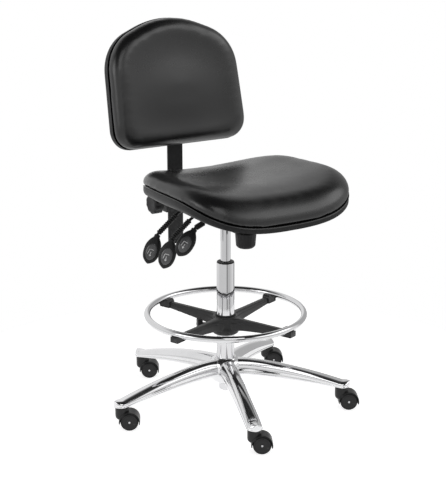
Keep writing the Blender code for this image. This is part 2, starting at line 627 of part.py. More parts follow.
def rounded(corners, steps):
    """A closed outline from corners (across, up, radius), each turned into an arc."""
    outline = []
    count = len(corners)
    for i in range(count):
        x, y, radius = corners[i]
        here = Vector((x, y))
        before = (Vector(corners[i - 1][:2]) - here).normalized()
        after = (Vector(corners[(i + 1) % count][:2]) - here).normalized()
        half = before.angle(after) / 2
        centre = here + (before + after).normalized() * radius / sin(half)
        start = here + before * radius / tan(half) - centre
        sweep = pi - 2 * half
        turn = 1 if before.x * after.y - before.y * after.x < 0 else -1
        for j in range(steps + 1):
            a = turn * sweep * j / steps
            outline.append((centre.x + start.x * cos(a) - start.y * sin(a),
                            centre.y + start.x * sin(a) + start.y * cos(a)))
    return outline


def back_outline():
    """The whole backrest outline, both halves, counter-clockwise."""
    foot, shoulder, crown = BACK_CORNERS
    corners = [foot, shoulder, crown, (-shoulder[0], *shoulder[1:]), (-foot[0], *foot[1:])]
    return rounded(corners, 5)


def back_rings(levels):
    """Rings about the backrest's middle: scaled outlines at a depth, with the sides brought forward."""
    middle = 0.170
    rings = []
    for scale, depth in levels:
        ring = []
        for x, up in back_outline():
            across = x * scale
            ring.append((across, depth - BACK_HOLLOW * (across / 0.21) ** 2, middle + (up - middle) * scale))
        rings.append(ring)
    return rings


def build_back(upright, steel, plastic, vinyl):
    """Mount plate, shell and cushion, square to the reclined backrest frame."""
    rest = empty("backrest", upright, BACK_FOOT, (-radians(BACK_RECLINE), 0, 0))
    block("back_mount", (-0.040, SHELL_FRONT - GAP, 0.050), (0.040, BAR_CLEAR - GAP, 0.200), steel, rest)
    outer = ((0.02, SHELL_REAR), (0.40, SHELL_REAR), (0.72, SHELL_REAR - 0.001), (0.90, SHELL_REAR - 0.004),
             (0.970, SHELL_REAR - 0.006), (1.0, SHELL_REAR - 0.010), (1.0, SHELL_FRONT), (0.93, SHELL_FRONT),
             (0.65, SHELL_FRONT), (0.35, SHELL_FRONT), (0.02, SHELL_FRONT))
    shell = piece("back_shell", *skin(back_rings(outer)), plastic, rest)
    wall = 0.0028
    inner = ((0.02, SHELL_REAR - wall), (0.70, SHELL_REAR - wall - 0.001), (0.88, SHELL_REAR - 0.0075),
             (0.945, SHELL_REAR - 0.014), (0.955, SHELL_FRONT - 0.010), (0.02, SHELL_FRONT - 0.010))
    join_or_cut(shell, piece("cavity_guide", *skin(back_rings(inner)), None, rest), "DIFFERENCE")
    notch = block("notch_guide", (-BAR_HALF - 0.003, 0.003, -0.020), (BAR_HALF + 0.003, 0.0165, 0.055),
                  None, rest)
    join_or_cut(shell, notch, "DIFFERENCE")
    seat = SHELL_FRONT - 0.0010
    pad = ((0.02, seat), (0.35, seat), (0.65, seat), (0.93, seat), (1.0, seat), (1.004, seat - 0.012),
           (1.000, seat - 0.030), (0.980, seat - 0.042), (0.93, seat - 0.050), (0.85, seat - 0.054),
           (0.55, seat - 0.057), (0.02, seat - 0.057))
    piece("back_cushion", *skin(back_rings(pad)), vinyl, rest)


# Seat

def seat_point(turn, scale):
    """A point of the seat outline: a superellipse, squarer and wider at the front."""
    middle = (SEAT_FRONT + SEAT_REAR) / 2
    reach = (SEAT_REAR - SEAT_FRONT) / 2
    ahead = cos(turn)
    power = 3.6 if ahead > 0 else 2.9
    share = abs(ahead) ** (2 / power) * (1 if ahead > 0 else -1)
    side = abs(sin(turn)) ** (2 / power) * (1 if sin(turn) > 0 else -1)
    half = SEAT_HALF * (1 + 0.06 * share)
    return half * side * scale, middle - reach * share * scale


def seam_height(x, y):
    """Height of the seam between pan and cushion: it falls at front and rear, and rises at the sides."""
    middle = (SEAT_FRONT + SEAT_REAR) / 2
    share = (middle - y) / ((SEAT_REAR - SEAT_FRONT) / 2)
    front = max((share - 0.3) / 0.7, 0) ** 2
    rear = max((-share - 0.3) / 0.7, 0) ** 2
    return SEAT_SEAM - FRONT_DROP * front - REAR_DROP * rear + SIDE_RISE * (x / SEAT_HALF) ** 2


def seat_rings(levels):
    """Rings of the seat: scaled outlines whose height is a function of the seam's and the scale."""
    rings = []
    for scale, rule in levels:
        ring = []
        for j in range(SEAT_POINTS):
            x, y = seat_point(2 * pi * (j + 0.5) / SEAT_POINTS, scale)
            ring.append((x, y, rule(seam_height(x, y))))
        rings.append(ring)
    return rings


def build_seat(tilt, plastic, vinyl):
    """Moulded pan with a flat middle below, and the saddle-shaped cushion on it."""
    def lower(share, lift=0.0):
        return lambda seam: PAN_FLOOR * (1 - share) + (seam - PAN_BAND + lift) * share

    def tray(drop):
        return lambda seam: seam * 0.5 + 0.5 * (SEAT_SEAM - 0.010) - drop

    place = tuple(-value for value in TILT_AXIS)
    pan = [(0.02, lower(0)), (0.30, lower(0)), (0.56, lower(0)), (0.75, lower(0.55)), (0.92, lower(1)),
           (0.985, lower(1, 0.006)), (1.0, lambda seam: seam - 0.012), (1.0, lambda seam: seam - GAP / 2),
           (0.96, lambda seam: seam - 0.0045), (0.75, tray(0.006)), (0.45, tray(0.008)), (0.02, tray(0.010))]
    piece("seat_pan", *skin(seat_rings(pan)), plastic, tilt, location=place)

    def top(scale):
        return lambda seam: seam + CUSHION_EDGE - CUSHION_DISH * (1 - scale ** 2)

    pad = [(0.02, tray(0.008 - GAP)), (0.45, tray(0.006 - GAP)), (0.75, tray(0.004 - GAP)),
           (0.96, lambda seam: seam - 0.002), (1.0, lambda seam: seam + 0.0008),
           (1.008, lambda seam: seam + 0.010), (1.002, lambda seam: seam + 0.022),
           (0.975, lambda seam: seam + 0.034), (0.925, lambda seam: seam + 0.041), (0.82, top(0.90)),
           (0.62, top(0.62)), (0.34, top(0.30)), (0.02, top(0.0))]
    piece("seat_cushion", *skin(seat_rings(pad)), vinyl, tilt, location=place)


def centre_on_floor(chair):
    """Move the chair so that the world origin is the middle of its bounding box, at the floor."""
    bpy.context.view_layer.update()
    shown = [thing for thing in bpy.data.objects if thing.type == "MESH" and not thing.hide_render]
    corners = [thing.matrix_world @ vertex.co for thing in shown for vertex in thing.data.vertices]
    for axis in (0, 1):
        places = [corner[axis] for corner in corners]
        chair.location[axis] = -(min(places) + max(places)) / 2
    bpy.context.view_layer.update()


def build_chair():
    """Build every piece in order, from the floor up."""
    clear_scene()
    aluminium = finish("polished_aluminium", (0.82, 0.82, 0.83), 0.12, 1.0)
    chrome = finish("chrome", (0.86, 0.86, 0.87), 0.05, 1.0)
    steel = finish("bright_steel", (0.55, 0.55, 0.56), 0.3, 1.0)
    black_steel = finish("black_powder_coat", (0.03, 0.03, 0.032), 0.45, 0.0)
    plastic = finish("black_plastic", (0.025, 0.025, 0.027), 0.4, 0.0)
    nylon = finish("caster_nylon", (0.03, 0.03, 0.03), 0.35, 0.0)
    rubber = finish("black_rubber", (0.02, 0.02, 0.02), 0.7, 0.0)
    vinyl = finish("black_vinyl", (0.02, 0.02, 0.021), 0.25, 0.0)

    chair = empty("chair")
    build_base(chair, aluminium, steel)
    for i in range(ARM_COUNT):
        turn = radians(FIRST_ARM + 360 * i / ARM_COUNT)
        build_caster(i + 1, (ARM_REACH * cos(turn), ARM_REACH * sin(turn), 0), chair, nylon, steel)
    build_column(chair, chrome, plastic, steel)

    collar = empty("footring_slide", chair)
    ring = empty("footring_turn", collar)
    build_footring(collar, ring, chrome, plastic)

    spindle = empty("seat_swivel", chair)
    lift = empty("lift_slide", spindle)
    build_lift(chair, spindle, lift, chrome, plastic, steel)
    tilt = empty("seat_tilt", lift, TILT_AXIS)
    tension = empty("tension_screw", lift, (0, TENSION_Y, 0))
    build_control(lift, tilt, tension, black_steel, plastic)
    for lever in LEVERS:
        build_lever(lever, lift, black_steel, rubber, plastic)

    back = empty("back_angle", lift, BACK_AXIS)
    build_bracket(back, black_steel)
    knob("height_knob", fluted(0.0310, 0.0022, 10, 4),
         ((0.0520, 0.60), (0.0540, 0.94), (0.0560, 1.0), (0.0790, 1.0), (0.0830, 0.90)),
         (0.0033, BAR_HALF + 0.0008, 0.0540), plastic, back,
         location=(0, BAR_Y - BACK_AXIS[1], HEIGHT_KNOB_Z - BACK_AXIS[2]), rotation=(0, -pi / 2, 0))
    upright = empty("back_height", back, tuple(-value for value in BACK_AXIS))
    build_upright(upright, black_steel)
    build_back(upright, black_steel, plastic, vinyl)
    build_seat(tilt, plastic, vinyl)
    centre_on_floor(chair)


build_chair()
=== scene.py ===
"""A drafting chair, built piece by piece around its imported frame.

Lengths are metres. The chair faces -Y and +Z is up. Places are counted from the column's axis at floor level.
"""

import logging
from dataclasses import dataclass
from enum import Enum
from math import cos, pi, radians, sin, tan

import bmesh
import bpy
import numpy as np
from mathutils import Matrix, Vector


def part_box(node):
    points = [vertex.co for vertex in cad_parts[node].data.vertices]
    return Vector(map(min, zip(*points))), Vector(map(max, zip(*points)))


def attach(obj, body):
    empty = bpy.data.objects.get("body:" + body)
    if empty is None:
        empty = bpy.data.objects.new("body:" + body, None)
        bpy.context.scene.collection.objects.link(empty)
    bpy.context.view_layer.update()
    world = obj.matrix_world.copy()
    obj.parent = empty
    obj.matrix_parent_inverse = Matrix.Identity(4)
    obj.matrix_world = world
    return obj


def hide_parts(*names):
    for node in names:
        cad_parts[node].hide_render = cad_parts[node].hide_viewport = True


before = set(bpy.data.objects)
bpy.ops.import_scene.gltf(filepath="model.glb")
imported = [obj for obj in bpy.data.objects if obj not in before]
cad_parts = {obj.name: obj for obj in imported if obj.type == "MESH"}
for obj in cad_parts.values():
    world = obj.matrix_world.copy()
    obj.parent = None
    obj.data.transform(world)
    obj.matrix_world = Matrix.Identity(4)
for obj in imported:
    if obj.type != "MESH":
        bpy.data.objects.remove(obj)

LOG = logging.getLogger("drafting_chair")
FULL_TURN = 2 * pi
WELD = 1e-6
FLIP_X = Matrix.Rotation(pi / 2, 4, "Y")


def column_axis() -> Vector:
    """The point on the floor under the middle of the column."""
    low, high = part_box("column_tube")
    return Vector(((low.x + high.x) / 2, (low.y + high.y) / 2, 0.0))


AXIS = column_axis()


class Slot(Enum):
    """The record's material slots."""

    ALUMINIUM = "polished_aluminium"
    CHROME = "chrome"
    STEEL = "bright_steel"
    POWDER = "black_powder_coat"
    PLASTIC = "black_plastic"
    NYLON = "caster_nylon"
    RUBBER = "black_rubber"
    VINYL = "black_vinyl"


class Side(Enum):
    """The two wheels of a caster, by the sign of their place along the axle."""

    LEFT = 1
    RIGHT = -1


# Surfaces

def add_mesh(name: str, points: np.ndarray, faces: list, smooth: float = 40.0) -> bpy.types.Object:
    """Put points and faces into one object with welded seams and outward faces.

    Args:
        name: Name of the piece.
        points: Corners, one row each, in the row frame.
        faces: Corner numbers of each face.
        smooth: Edges sharper than this many degrees stay crisp.

    Returns:
        The new object, at the origin.
    """
    mesh = bpy.data.meshes.new(name)
    mesh.from_pydata(points.reshape(-1, 3).tolist(), [], faces)
    shape = bmesh.new()
    shape.from_mesh(mesh)
    bmesh.ops.remove_doubles(shape, verts=shape.verts, dist=WELD)
    bmesh.ops.dissolve_degenerate(shape, edges=shape.edges, dist=WELD)
    bmesh.ops.recalc_face_normals(shape, faces=shape.faces)
    shape.to_mesh(mesh)
    shape.free()
    mesh.shade_smooth()
    mesh.set_sharp_from_angle(angle=radians(smooth))
    thing = bpy.data.objects.new(name, mesh)
    bpy.context.scene.collection.objects.link(thing)
    return thing


def grid_faces(rows: int, columns: int, around: bool = True, along: bool = False) -> np.ndarray:
    """Quads of a grid: each corner with its right, upper right and upper neighbour.

    Args:
        rows: Number of rings.
        columns: Points in each ring.
        around: Whether each ring closes on itself.
        along: Whether the last ring joins the first.

    Returns:
        Corner numbers, four a row.
    """
    i, j = np.meshgrid(np.arange(rows if along else rows - 1), np.arange(columns if around else columns - 1),
                       indexing="ij")
    up, right = (i + 1) % rows, (j + 1) % columns
    return np.stack([i * columns + j, i * columns + right, up * columns + right, up * columns + j],
                    -1).reshape(-1, 4)


@dataclass
class Shell:
    """Closed surfaces gathered before they become one piece."""

    name: str
    smooth: float = 40.0

    def __post_init__(self) -> None:
        """Start with no points and no faces."""
        self.points: list[np.ndarray] = []
        self.faces: list[list[int]] = []
        self.count = 0

    def add(self, grid: np.ndarray, around: bool = True, along: bool = False, caps: bool = True,
            place: Matrix | None = None) -> "Shell":
        """Add one grid of points, rows by columns by three, with its open ends closed by flat caps.

        Args:
            grid: The points.
            around: Whether each ring closes on itself.
            along: Whether the last ring joins the first.
            caps: Whether the first and last ring are filled.
            place: Where the grid goes; the column's axis if left out.

        Returns:
            This shell.
        """
        rows, columns = grid.shape[:2]
        turn = np.array(place if place is not None else Matrix.Translation(AXIS))
        moved = grid.reshape(-1, 3) @ turn[:3, :3].T + turn[:3, 3]
        faces = (grid_faces(rows, columns, around, along) + self.count).tolist()
        if caps and around and not along:
            first = list(range(self.count, self.count + columns))
            faces += [first[::-1], [index + (rows - 1) * columns for index in first]]
        self.points.append(moved)
        self.faces += faces
        self.count += len(moved)
        return self

    def turned(self, profile: np.ndarray, sides: int = 72, hollow: bool = False,
               place: Matrix | None = None) -> "Shell":
        """Add a turned shape: (radius, height) points carried once round Z, closed into a ring if hollow."""
        return self.add(lathe(profile, sides), along=hollow, caps=not hollow, place=place)

    def done(self) -> bpy.types.Object:
        """Make the piece."""
        return add_mesh(self.name, np.concatenate(self.points), self.faces, self.smooth)


def lathe(profile: np.ndarray, sides: int) -> np.ndarray:
    """Turn a profile round Z: each (radius, height) becomes a circle at that height.

    Args:
        profile: Rows of radius and height.
        sides: Points in each circle.

    Returns:
        Points, profile by sides by three.
    """
    profile = np.asarray(profile, float)
    turn = np.arange(sides) * FULL_TURN / sides
    radius, height = profile[:, :1], profile[:, 1:2]
    return np.stack([radius * np.cos(turn), radius * np.sin(turn), height + 0 * turn], -1)


def filleted(corners: list, steps: int = 4, closed: bool = False) -> np.ndarray:
    """Round the corners of a line: each becomes a quadratic arc between its tangent points.

    Args:
        corners: Rows of x, y and the length that the corner's arc takes from its two sides.
        steps: Pieces in each arc.
        closed: Whether the last corner joins the first.

    Returns:
        Points, two numbers a row.
    """
    data = np.array(corners, float)
    spots, reach = data[:, :2], data[:, 2:]
    before, after = np.roll(spots, 1, 0), np.roll(spots, -1, 0)

    def towards(other: np.ndarray) -> np.ndarray:
        """Tangent point on the side that leads to the other corner, at most half way.

        Args:
            other: The corner at the far end of each side.

        Returns:
            The tangent points.
        """
        gap = other - spots
        length = np.linalg.norm(gap, axis=1, keepdims=True) + 1e-12
        return spots + gap / length * np.minimum(reach, length * 0.49)

    start, end = towards(before), towards(after)
    if not closed:
        start[0] = end[0] = spots[0]
        start[-1] = end[-1] = spots[-1]
    t = np.linspace(0, 1, steps + 1)[None, :, None]
    arcs = start[:, None] * (1 - t) ** 2 + 2 * spots[:, None] * t * (1 - t) + end[:, None] * t ** 2
    line = arcs.reshape(-1, 2)
    keep = np.concatenate([[True], np.linalg.norm(np.diff(line, axis=0), axis=1) > 1e-7])
    return line[keep]


def smooth_path(points: list, count: int) -> np.ndarray:
    """Catmull-Rom curve through points: each stretch blends its four nearest by cubic weights.

    Args:
        points: Points that the curve runs through.
        count: Points to make.

    Returns:
        Points, count by three.
    """
    spots = np.array(points, float)
    spots = np.concatenate([[2 * spots[0] - spots[1]], spots, [2 * spots[-1] - spots[-2]]])
    t = np.linspace(0, len(points) - 1 - 1e-9, count)
    cell = t.astype(int)
    t = (t - cell)[:, None]
    a, b, c, d = (spots[cell + k] for k in range(4))
    square, cube = 2 * a - 5 * b + 4 * c - d, 3 * b - a - 3 * c + d
    return 0.5 * (2 * b + (c - a) * t + square * t ** 2 + cube * t ** 3)


def tube(path: np.ndarray, radius: np.ndarray | float, sides: int = 16,
         side: tuple = (0.0, 1.0, 0.0)) -> np.ndarray:
    """Grid of a bar along a path: circles in the plane of a fixed side direction and its cross with the path.

    Args:
        path: Points of the centre line.
        radius: One radius, or one for each point.
        sides: Points in each circle.
        side: A direction that the path never runs along.

    Returns:
        Points, path by sides by three.
    """
    along = np.gradient(path, axis=0)
    along /= np.linalg.norm(along, axis=1, keepdims=True)
    first = np.array(side) - along * (along @ np.array(side))[:, None]
    first /= np.linalg.norm(first, axis=1, keepdims=True)
    second = np.cross(along, first)
    turn = np.arange(sides) * FULL_TURN / sides
    size = np.broadcast_to(np.asarray(radius, float), (len(path),))[:, None, None]
    circle = first[:, None] * np.cos(turn)[:, None] + second[:, None] * np.sin(turn)[:, None]
    return path[:, None] + circle * size


def placed(where: tuple, *turns: Matrix) -> Matrix:
    """A place counted from the column's axis, with turns applied, the last one first.

    Args:
        where: Place from the column's axis.
        *turns: Rotations, from the outermost to the innermost.

    Returns:
        The matrix of the place.
    """
    made = Matrix.Translation(AXIS + Vector(where))
    for turn in turns:
        made = made @ turn
    return made


def aimed(where: Vector, along: Vector) -> Matrix:
    """A place counted from the column's axis, with its Z turned to a direction."""
    return placed(tuple(where)) @ along.to_track_quat("Z", "Y").to_matrix().to_4x4()


# Finishes

class Sheet:
    """A node tree with short calls to add and join nodes."""

    def __init__(self, tree: bpy.types.NodeTree) -> None:
        """Keep the tree."""
        self.tree = tree

    def node(self, kind: str, inputs: dict | None = None, **settings: object) -> bpy.types.Node:
        """Add a node with its settings, its plain input values and its incoming sockets.

        Args:
            kind: Blender's name for the node type.
            inputs: A value or a socket for each input.
            **settings: Values of the node itself.

        Returns:
            The node.
        """
        made = self.tree.nodes.new(kind)
        for key, value in settings.items():
            setattr(made, key, value)
        for key, value in (inputs or {}).items():
            if isinstance(value, bpy.types.NodeSocket):
                self.tree.links.new(value, made.inputs[key])
            else:
                made.inputs[key].default_value = value
        return made

    def maths(self, operation: str, first: object, second: object = 0.0) -> bpy.types.NodeSocket:
        """One arithmetic step on two values."""
        return self.node("ShaderNodeMath", {0: first, 1: second}, operation=operation).outputs[0]

    def span(self, value: object, low: object, high: object, start: float,
             end: float) -> bpy.types.NodeSocket:
        """A value between start and end, spread to run from low to high and held there."""
        return self.node("ShaderNodeMapRange", {"Value": value, "From Min": start, "From Max": end,
                                                "To Min": low, "To Max": high}, clamp=True).outputs[0]

    def place(self) -> bpy.types.NodeSocket:
        """The point on the piece, in metres."""
        return self.node("ShaderNodeTexCoord").outputs["Object"]

    def noise(self, scale: object, detail: float = 3.0, where: object | None = None) -> bpy.types.NodeSocket:
        """Soft random values from 0 to 1."""
        inputs = {"Scale": scale, "Detail": detail, "Vector": where or self.place()}
        return self.node("ShaderNodeTexNoise", inputs).outputs["Fac"]


def effect(name: str, inputs: dict[str, float], output: str) -> tuple[bpy.types.NodeTree, Sheet, dict,
                                                                      object]:
    """Start a shader node group.

    Args:
        name: Name of the effect.
        inputs: Named numbers it takes, with their usual values.
        output: Name of the number it gives.

    Returns:
        The group, its sheet, its input sockets by name, and its output socket.
    """
    group = bpy.data.node_groups.new(name, "ShaderNodeTree")
    for label, value in inputs.items():
        group.interface.new_socket(name=label, in_out="INPUT",
                                   socket_type="NodeSocketFloat").default_value = value
    group.interface.new_socket(name=output, in_out="OUTPUT", socket_type="NodeSocketFloat")
    sheet = Sheet(group)
    source = sheet.node("NodeGroupInput")
    sink = sheet.node("NodeGroupOutput")
    return group, sheet, {label: source.outputs[label] for label in inputs}, sink.inputs[output]


class Effects:
    """The effects that several finishes share, each one a node group."""

    def __init__(self) -> None:
        """Build the groups once."""
        self.grain = self.build_grain()
        self.smudge = self.build_smudge()
        self.wear = self.build_wear()
        self.pale_top = self.build_pale_top()

    @staticmethod
    def build_grain() -> bpy.types.NodeTree:
        """Moulded or sprayed grain: round cells at one scale, roughened by noise at twice that scale."""
        group, sheet, given, out = effect("surface_grain", {"Scale": 900.0, "Cells": 0.5}, "Height")
        cells = sheet.node("ShaderNodeTexVoronoi", {"Vector": sheet.place(), "Scale": given["Scale"]},
                           feature="SMOOTH_F1").outputs["Distance"]
        fine = sheet.noise(sheet.maths("MULTIPLY", given["Scale"], 2.0))
        high = sheet.maths("MULTIPLY", cells, given["Cells"])
        group.links.new(sheet.maths("ADD", high, sheet.maths("MULTIPLY", fine, 0.5)), out)
        return group

    @staticmethod
    def build_smudge() -> bpy.types.NodeTree:
        """Handling marks: broad noise broken by finer noise, spread between two values."""
        group, sheet, given, out = effect("handling_smudge", {"Scale": 14.0, "Low": 0.1, "High": 0.2},
                                          "Value")
        broad = sheet.noise(given["Scale"], 5.0)
        fine = sheet.noise(sheet.maths("MULTIPLY", given["Scale"], 9.0), 2.0)
        mixed = sheet.maths("ADD", sheet.maths("MULTIPLY", broad, 0.75), sheet.maths("MULTIPLY", fine, 0.25))
        group.links.new(sheet.span(mixed, given["Low"], given["High"], 0.36, 0.64), out)
        return group

    @staticmethod
    def build_wear() -> bpy.types.NodeTree:
        """Rubbed edges: convex places, broken up by noise."""
        group, sheet, given, out = effect("rubbed_edge", {"Amount": 0.5, "Scale": 120.0}, "Mask")
        edge = sheet.span(sheet.node("ShaderNodeNewGeometry").outputs["Pointiness"], 0.0, 1.0, 0.52, 0.60)
        broken = sheet.span(sheet.noise(given["Scale"]), 0.0, 1.0, 0.42, 0.62)
        group.links.new(sheet.maths("MULTIPLY", sheet.maths("MULTIPLY", edge, broken), given["Amount"]), out)
        return group

    @staticmethod
    def build_pale_top() -> bpy.types.NodeTree:
        """Mask of the faces that look up, broken up by noise, for a paler grey on top."""
        group, sheet, given, out = effect("pale_upward_faces", {"Amount": 0.2, "Scale": 40.0}, "Mask")
        normal = sheet.node("ShaderNodeNewGeometry").outputs["Normal"]
        up = sheet.node("ShaderNodeSeparateXYZ", {0: normal}).outputs["Z"]
        level = sheet.span(up, 0.0, 1.0, 0.55, 1.0)
        broken = sheet.span(sheet.noise(given["Scale"], 6.0), 0.2, 1.0, 0.35, 0.7)
        group.links.new(sheet.maths("MULTIPLY", sheet.maths("MULTIPLY", level, broken), given["Amount"]), out)
        return group


@dataclass(frozen=True)
class Finish:
    """A hard finish: colour, gloss, grain, handling marks, rubbed edges and a paler grey on faces that look
    up.
    """

    name: str
    colour: tuple[float, float, float]
    rough: tuple[float, float]
    metallic: float = 0.0
    mark_scale: float = 14.0
    grain_scale: float = 900.0
    grain_depth: float = 0.00002
    cells: float = 0.5
    shade: float = 0.75
    worn_colour: tuple[float, float, float] = (0.12, 0.12, 0.12)
    wear: float = 0.3
    # Share of pale grey mixed into the faces that look up.
    pale_top: float = 0.0
    coat: float = 0.0
    specular: float = 0.5

    def extra_height(self, sheet: Sheet) -> bpy.types.NodeSocket | None:
        """Height that only this kind of finish has."""
        return None

    def use(self, sheet: Sheet, group: bpy.types.NodeTree, **inputs: float) -> bpy.types.NodeSocket:
        """Place a shared effect with this finish's own values."""
        return sheet.node("ShaderNodeGroup", inputs, node_tree=group).outputs[0]

    def build(self, effects: Effects) -> bpy.types.Material:
        """Make the material.

        Args:
            effects: The shared node groups.

        Returns:
            The material.
        """
        material = bpy.data.materials.new(self.name)
        material.use_nodes = True
        sheet = Sheet(material.node_tree)
        surface = material.node_tree.nodes["Principled BSDF"]
        dark = tuple(value * self.shade for value in self.colour)
        tone = self.use(sheet, effects.smudge, Scale=self.mark_scale * 0.6, Low=0.0, High=1.0)
        base = self.mix(sheet, tone, (*dark, 1.0), (*self.colour, 1.0))
        worn = self.use(sheet, effects.wear, Amount=self.wear, Scale=140.0)
        base = self.mix(sheet, worn, base, (*self.worn_colour, 1.0))
        rough = self.use(sheet, effects.smudge, Scale=self.mark_scale, Low=self.rough[0], High=self.rough[1])
        # Faces that look up are mixed towards a pale grey and made rougher, by the amount given.
        if self.pale_top:
            pale_top_mask = self.use(sheet, effects.pale_top, Amount=self.pale_top, Scale=40.0)
            base = self.mix(sheet, pale_top_mask, base, (0.42, 0.41, 0.39, 1.0))
            rough = sheet.maths("ADD", rough, sheet.maths("MULTIPLY", pale_top_mask, 0.3))
        height = self.use(sheet, effects.grain, Scale=self.grain_scale, Cells=self.cells)
        extra = self.extra_height(sheet)
        if extra is not None:
            height = sheet.maths("ADD", height, extra)
        bump = sheet.node("ShaderNodeBump", {"Height": height, "Distance": self.grain_depth, "Strength": 1.0})
        links = material.node_tree.links
        links.new(base, surface.inputs["Base Color"])
        links.new(rough, surface.inputs["Roughness"])
        links.new(bump.outputs[0], surface.inputs["Normal"])
        surface.inputs["Metallic"].default_value = self.metallic
        surface.inputs["Coat Weight"].default_value = self.coat
        surface.inputs["Coat Roughness"].default_value = 0.12
        surface.inputs["Specular IOR Level"].default_value = self.specular
        return material

    @staticmethod
    def mix(sheet: Sheet, share: object, first: object, second: object) -> bpy.types.NodeSocket:
        """Two colours mixed by a share."""
        node = sheet.node("ShaderNodeMix", data_type="RGBA")
        for index, value in ((0, share), (6, first), (7, second)):
            if isinstance(value, bpy.types.NodeSocket):
                sheet.tree.links.new(value, node.inputs[index])
            else:
                node.inputs[index].default_value = value
        return node.outputs[2]


@dataclass(frozen=True)
class VinylFinish(Finish):
    """Coated upholstery fabric: fine pebbled grain over broad soft puckers."""

    pucker_scale: float = 9.0
    pucker: float = 14.0

    def extra_height(self, sheet: Sheet) -> bpy.types.NodeSocket:
        """Broad shallow waves, many times the height of the grain."""
        return sheet.maths("MULTIPLY", sheet.noise(self.pucker_scale, 1.5), self.pucker)


@dataclass(frozen=True)
class CastFinish(Finish):
    """Polished casting: faint long waves left by the buffing wheel."""

    wave: float = 6.0

    def extra_height(self, sheet: Sheet) -> bpy.types.NodeSocket:
        """Shallow waves a few centimetres long."""
        return sheet.maths("MULTIPLY", sheet.noise(26.0, 1.0), self.wave)


class Palette:
    """Every finish of the chair, made once."""

    def __init__(self) -> None:
        """Make the materials."""
        effects = Effects()
        black = (0.010, 0.010, 0.0105)
        self.of_slot = {
            Slot.ALUMINIUM: CastFinish("polished_cast_aluminium", (0.76, 0.76, 0.77), (0.06, 0.11), 1.0,
                                       wear=0.0, grain_depth=0.000012, shade=0.94).build(effects),
            Slot.CHROME: Finish("bright_chrome", (0.68, 0.68, 0.69), (0.035, 0.07), 1.0, wear=0.0,
                                grain_depth=0.0000012, shade=0.96).build(effects),
            Slot.STEEL: Finish("plated_steel", (0.56, 0.56, 0.57), (0.24, 0.36), 1.0, wear=0.1,
                               worn_colour=(0.75, 0.75, 0.75), grain_depth=0.000006,
                               shade=0.85).build(effects),
            Slot.POWDER: Finish("satin_powder_coat", (0.014, 0.014, 0.0145), (0.36, 0.46), grain_scale=1100.0,
                                grain_depth=0.00003, wear=0.2, specular=0.3).build(effects),
            Slot.PLASTIC: Finish("moulded_black_plastic", black, (0.38, 0.50), grain_scale=1400.0,
                                 grain_depth=0.00003, pale_top=0.03, wear=0.12, specular=0.25).build(effects),
            Slot.NYLON: Finish("caster_nylon_satin", (0.011, 0.011, 0.0115), (0.30, 0.42), grain_scale=1600.0,
                               grain_depth=0.000015, pale_top=0.04, wear=0.2, specular=0.3).build(effects),
            Slot.RUBBER: Finish("ribbed_rubber", (0.010, 0.010, 0.010), (0.50, 0.62), grain_scale=1800.0,
                                grain_depth=0.00002, pale_top=0.04, wear=0.1, specular=0.3).build(effects),
            Slot.VINYL: VinylFinish("glossy_black_vinyl", (0.0060, 0.0060, 0.0063), (0.25, 0.33),
                                    grain_scale=620.0, grain_depth=0.00003, cells=0.8, wear=0.0,
                                    mark_scale=6.0, specular=0.62).build(effects),
        }
        # The spider's faces that look up are mixed strongly towards a pale grey.
        self.spider = Finish("satin_spider_plastic", (0.014, 0.014, 0.0145), (0.33, 0.44), grain_scale=1200.0,
                             grain_depth=0.00004, pale_top=0.16, wear=0.25, specular=0.35).build(effects)
        self.inlay = Finish("glossy_grey_inlay", (0.075, 0.075, 0.078), (0.16, 0.26), grain_depth=0.000006,
                            wear=0.2).build(effects)
        self.icon = Finish("printed_pale_mark", (0.62, 0.62, 0.62), (0.35, 0.45), grain_depth=0.000004,
                           wear=0.0).build(effects)

    def give(self, piece: bpy.types.Object, slot: Slot, material: bpy.types.Material | None = None) -> None:
        """Set a piece's material: its own finish if it has one, else its record slot's usual one.

        Args:
            piece: A new piece or a carried-over node.
            slot: The record's slot.
            material: A finish of its own, if it isn't the slot's usual one.
        """
        piece.data.materials.clear()
        piece.data.materials.append(material or self.of_slot[slot])


@dataclass
class Assembly:
    """What every sub-assembly shares: its palette and how its pieces are fitted."""

    palette: Palette

    def fit(self, piece: bpy.types.Object, body: str, slot: Slot, *nodes: str,
            material: bpy.types.Material | None = None) -> bpy.types.Object:
        """Dress a new piece, set it on its body and let it stand for CAD nodes.

        Args:
            piece: The piece, in place.
            body: The CAD body it rides on.
            slot: Its record slot.
            nodes: The CAD nodes it replaces.
            material: A finish of its own, if any.

        Returns:
            The piece.
        """
        self.palette.give(piece, slot, material)
        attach(piece, body)
        if nodes:
            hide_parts(*nodes)
        LOG.info("%s rides on %s", piece.name, body)
        return piece

    def keep(self, node: str, slot: Slot) -> None:
        """Dress a CAD node that stays as it is."""
        self.palette.give(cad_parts[node], slot)
        LOG.info("%s is kept", node)

    def softened(self, node: str, body: str, slot: Slot, edge: float = 0.0008) -> bpy.types.Object:
        """Stand a copy of a CAD node in for it, with its flat faces merged and its edges rounded.

        Args:
            node: The CAD node.
            body: Its body.
            slot: Its record slot.
            edge: Width of the rounding.

        Returns:
            The new piece.
        """
        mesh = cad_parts[node].data.copy()
        shape = bmesh.new()
        shape.from_mesh(mesh)
        bmesh.ops.remove_doubles(shape, verts=shape.verts, dist=1e-5)
        bmesh.ops.dissolve_limit(shape, angle_limit=radians(1.0), verts=shape.verts, edges=shape.edges)
        shape.to_mesh(mesh)
        shape.free()
        piece = bpy.data.objects.new(node + "_formed", mesh)
        bpy.context.scene.collection.objects.link(piece)
        bevel = piece.modifiers.new("rounded_edges", "BEVEL")
        bevel.width = edge
        bevel.segments = 2
        bevel.limit_method = "ANGLE"
        bevel.angle_limit = radians(35)
        bevel.use_clamp_overlap = True
        mesh.shade_smooth()
        mesh.set_sharp_from_angle(angle=radians(35))
        return self.fit(piece, body, slot, node)


# Base

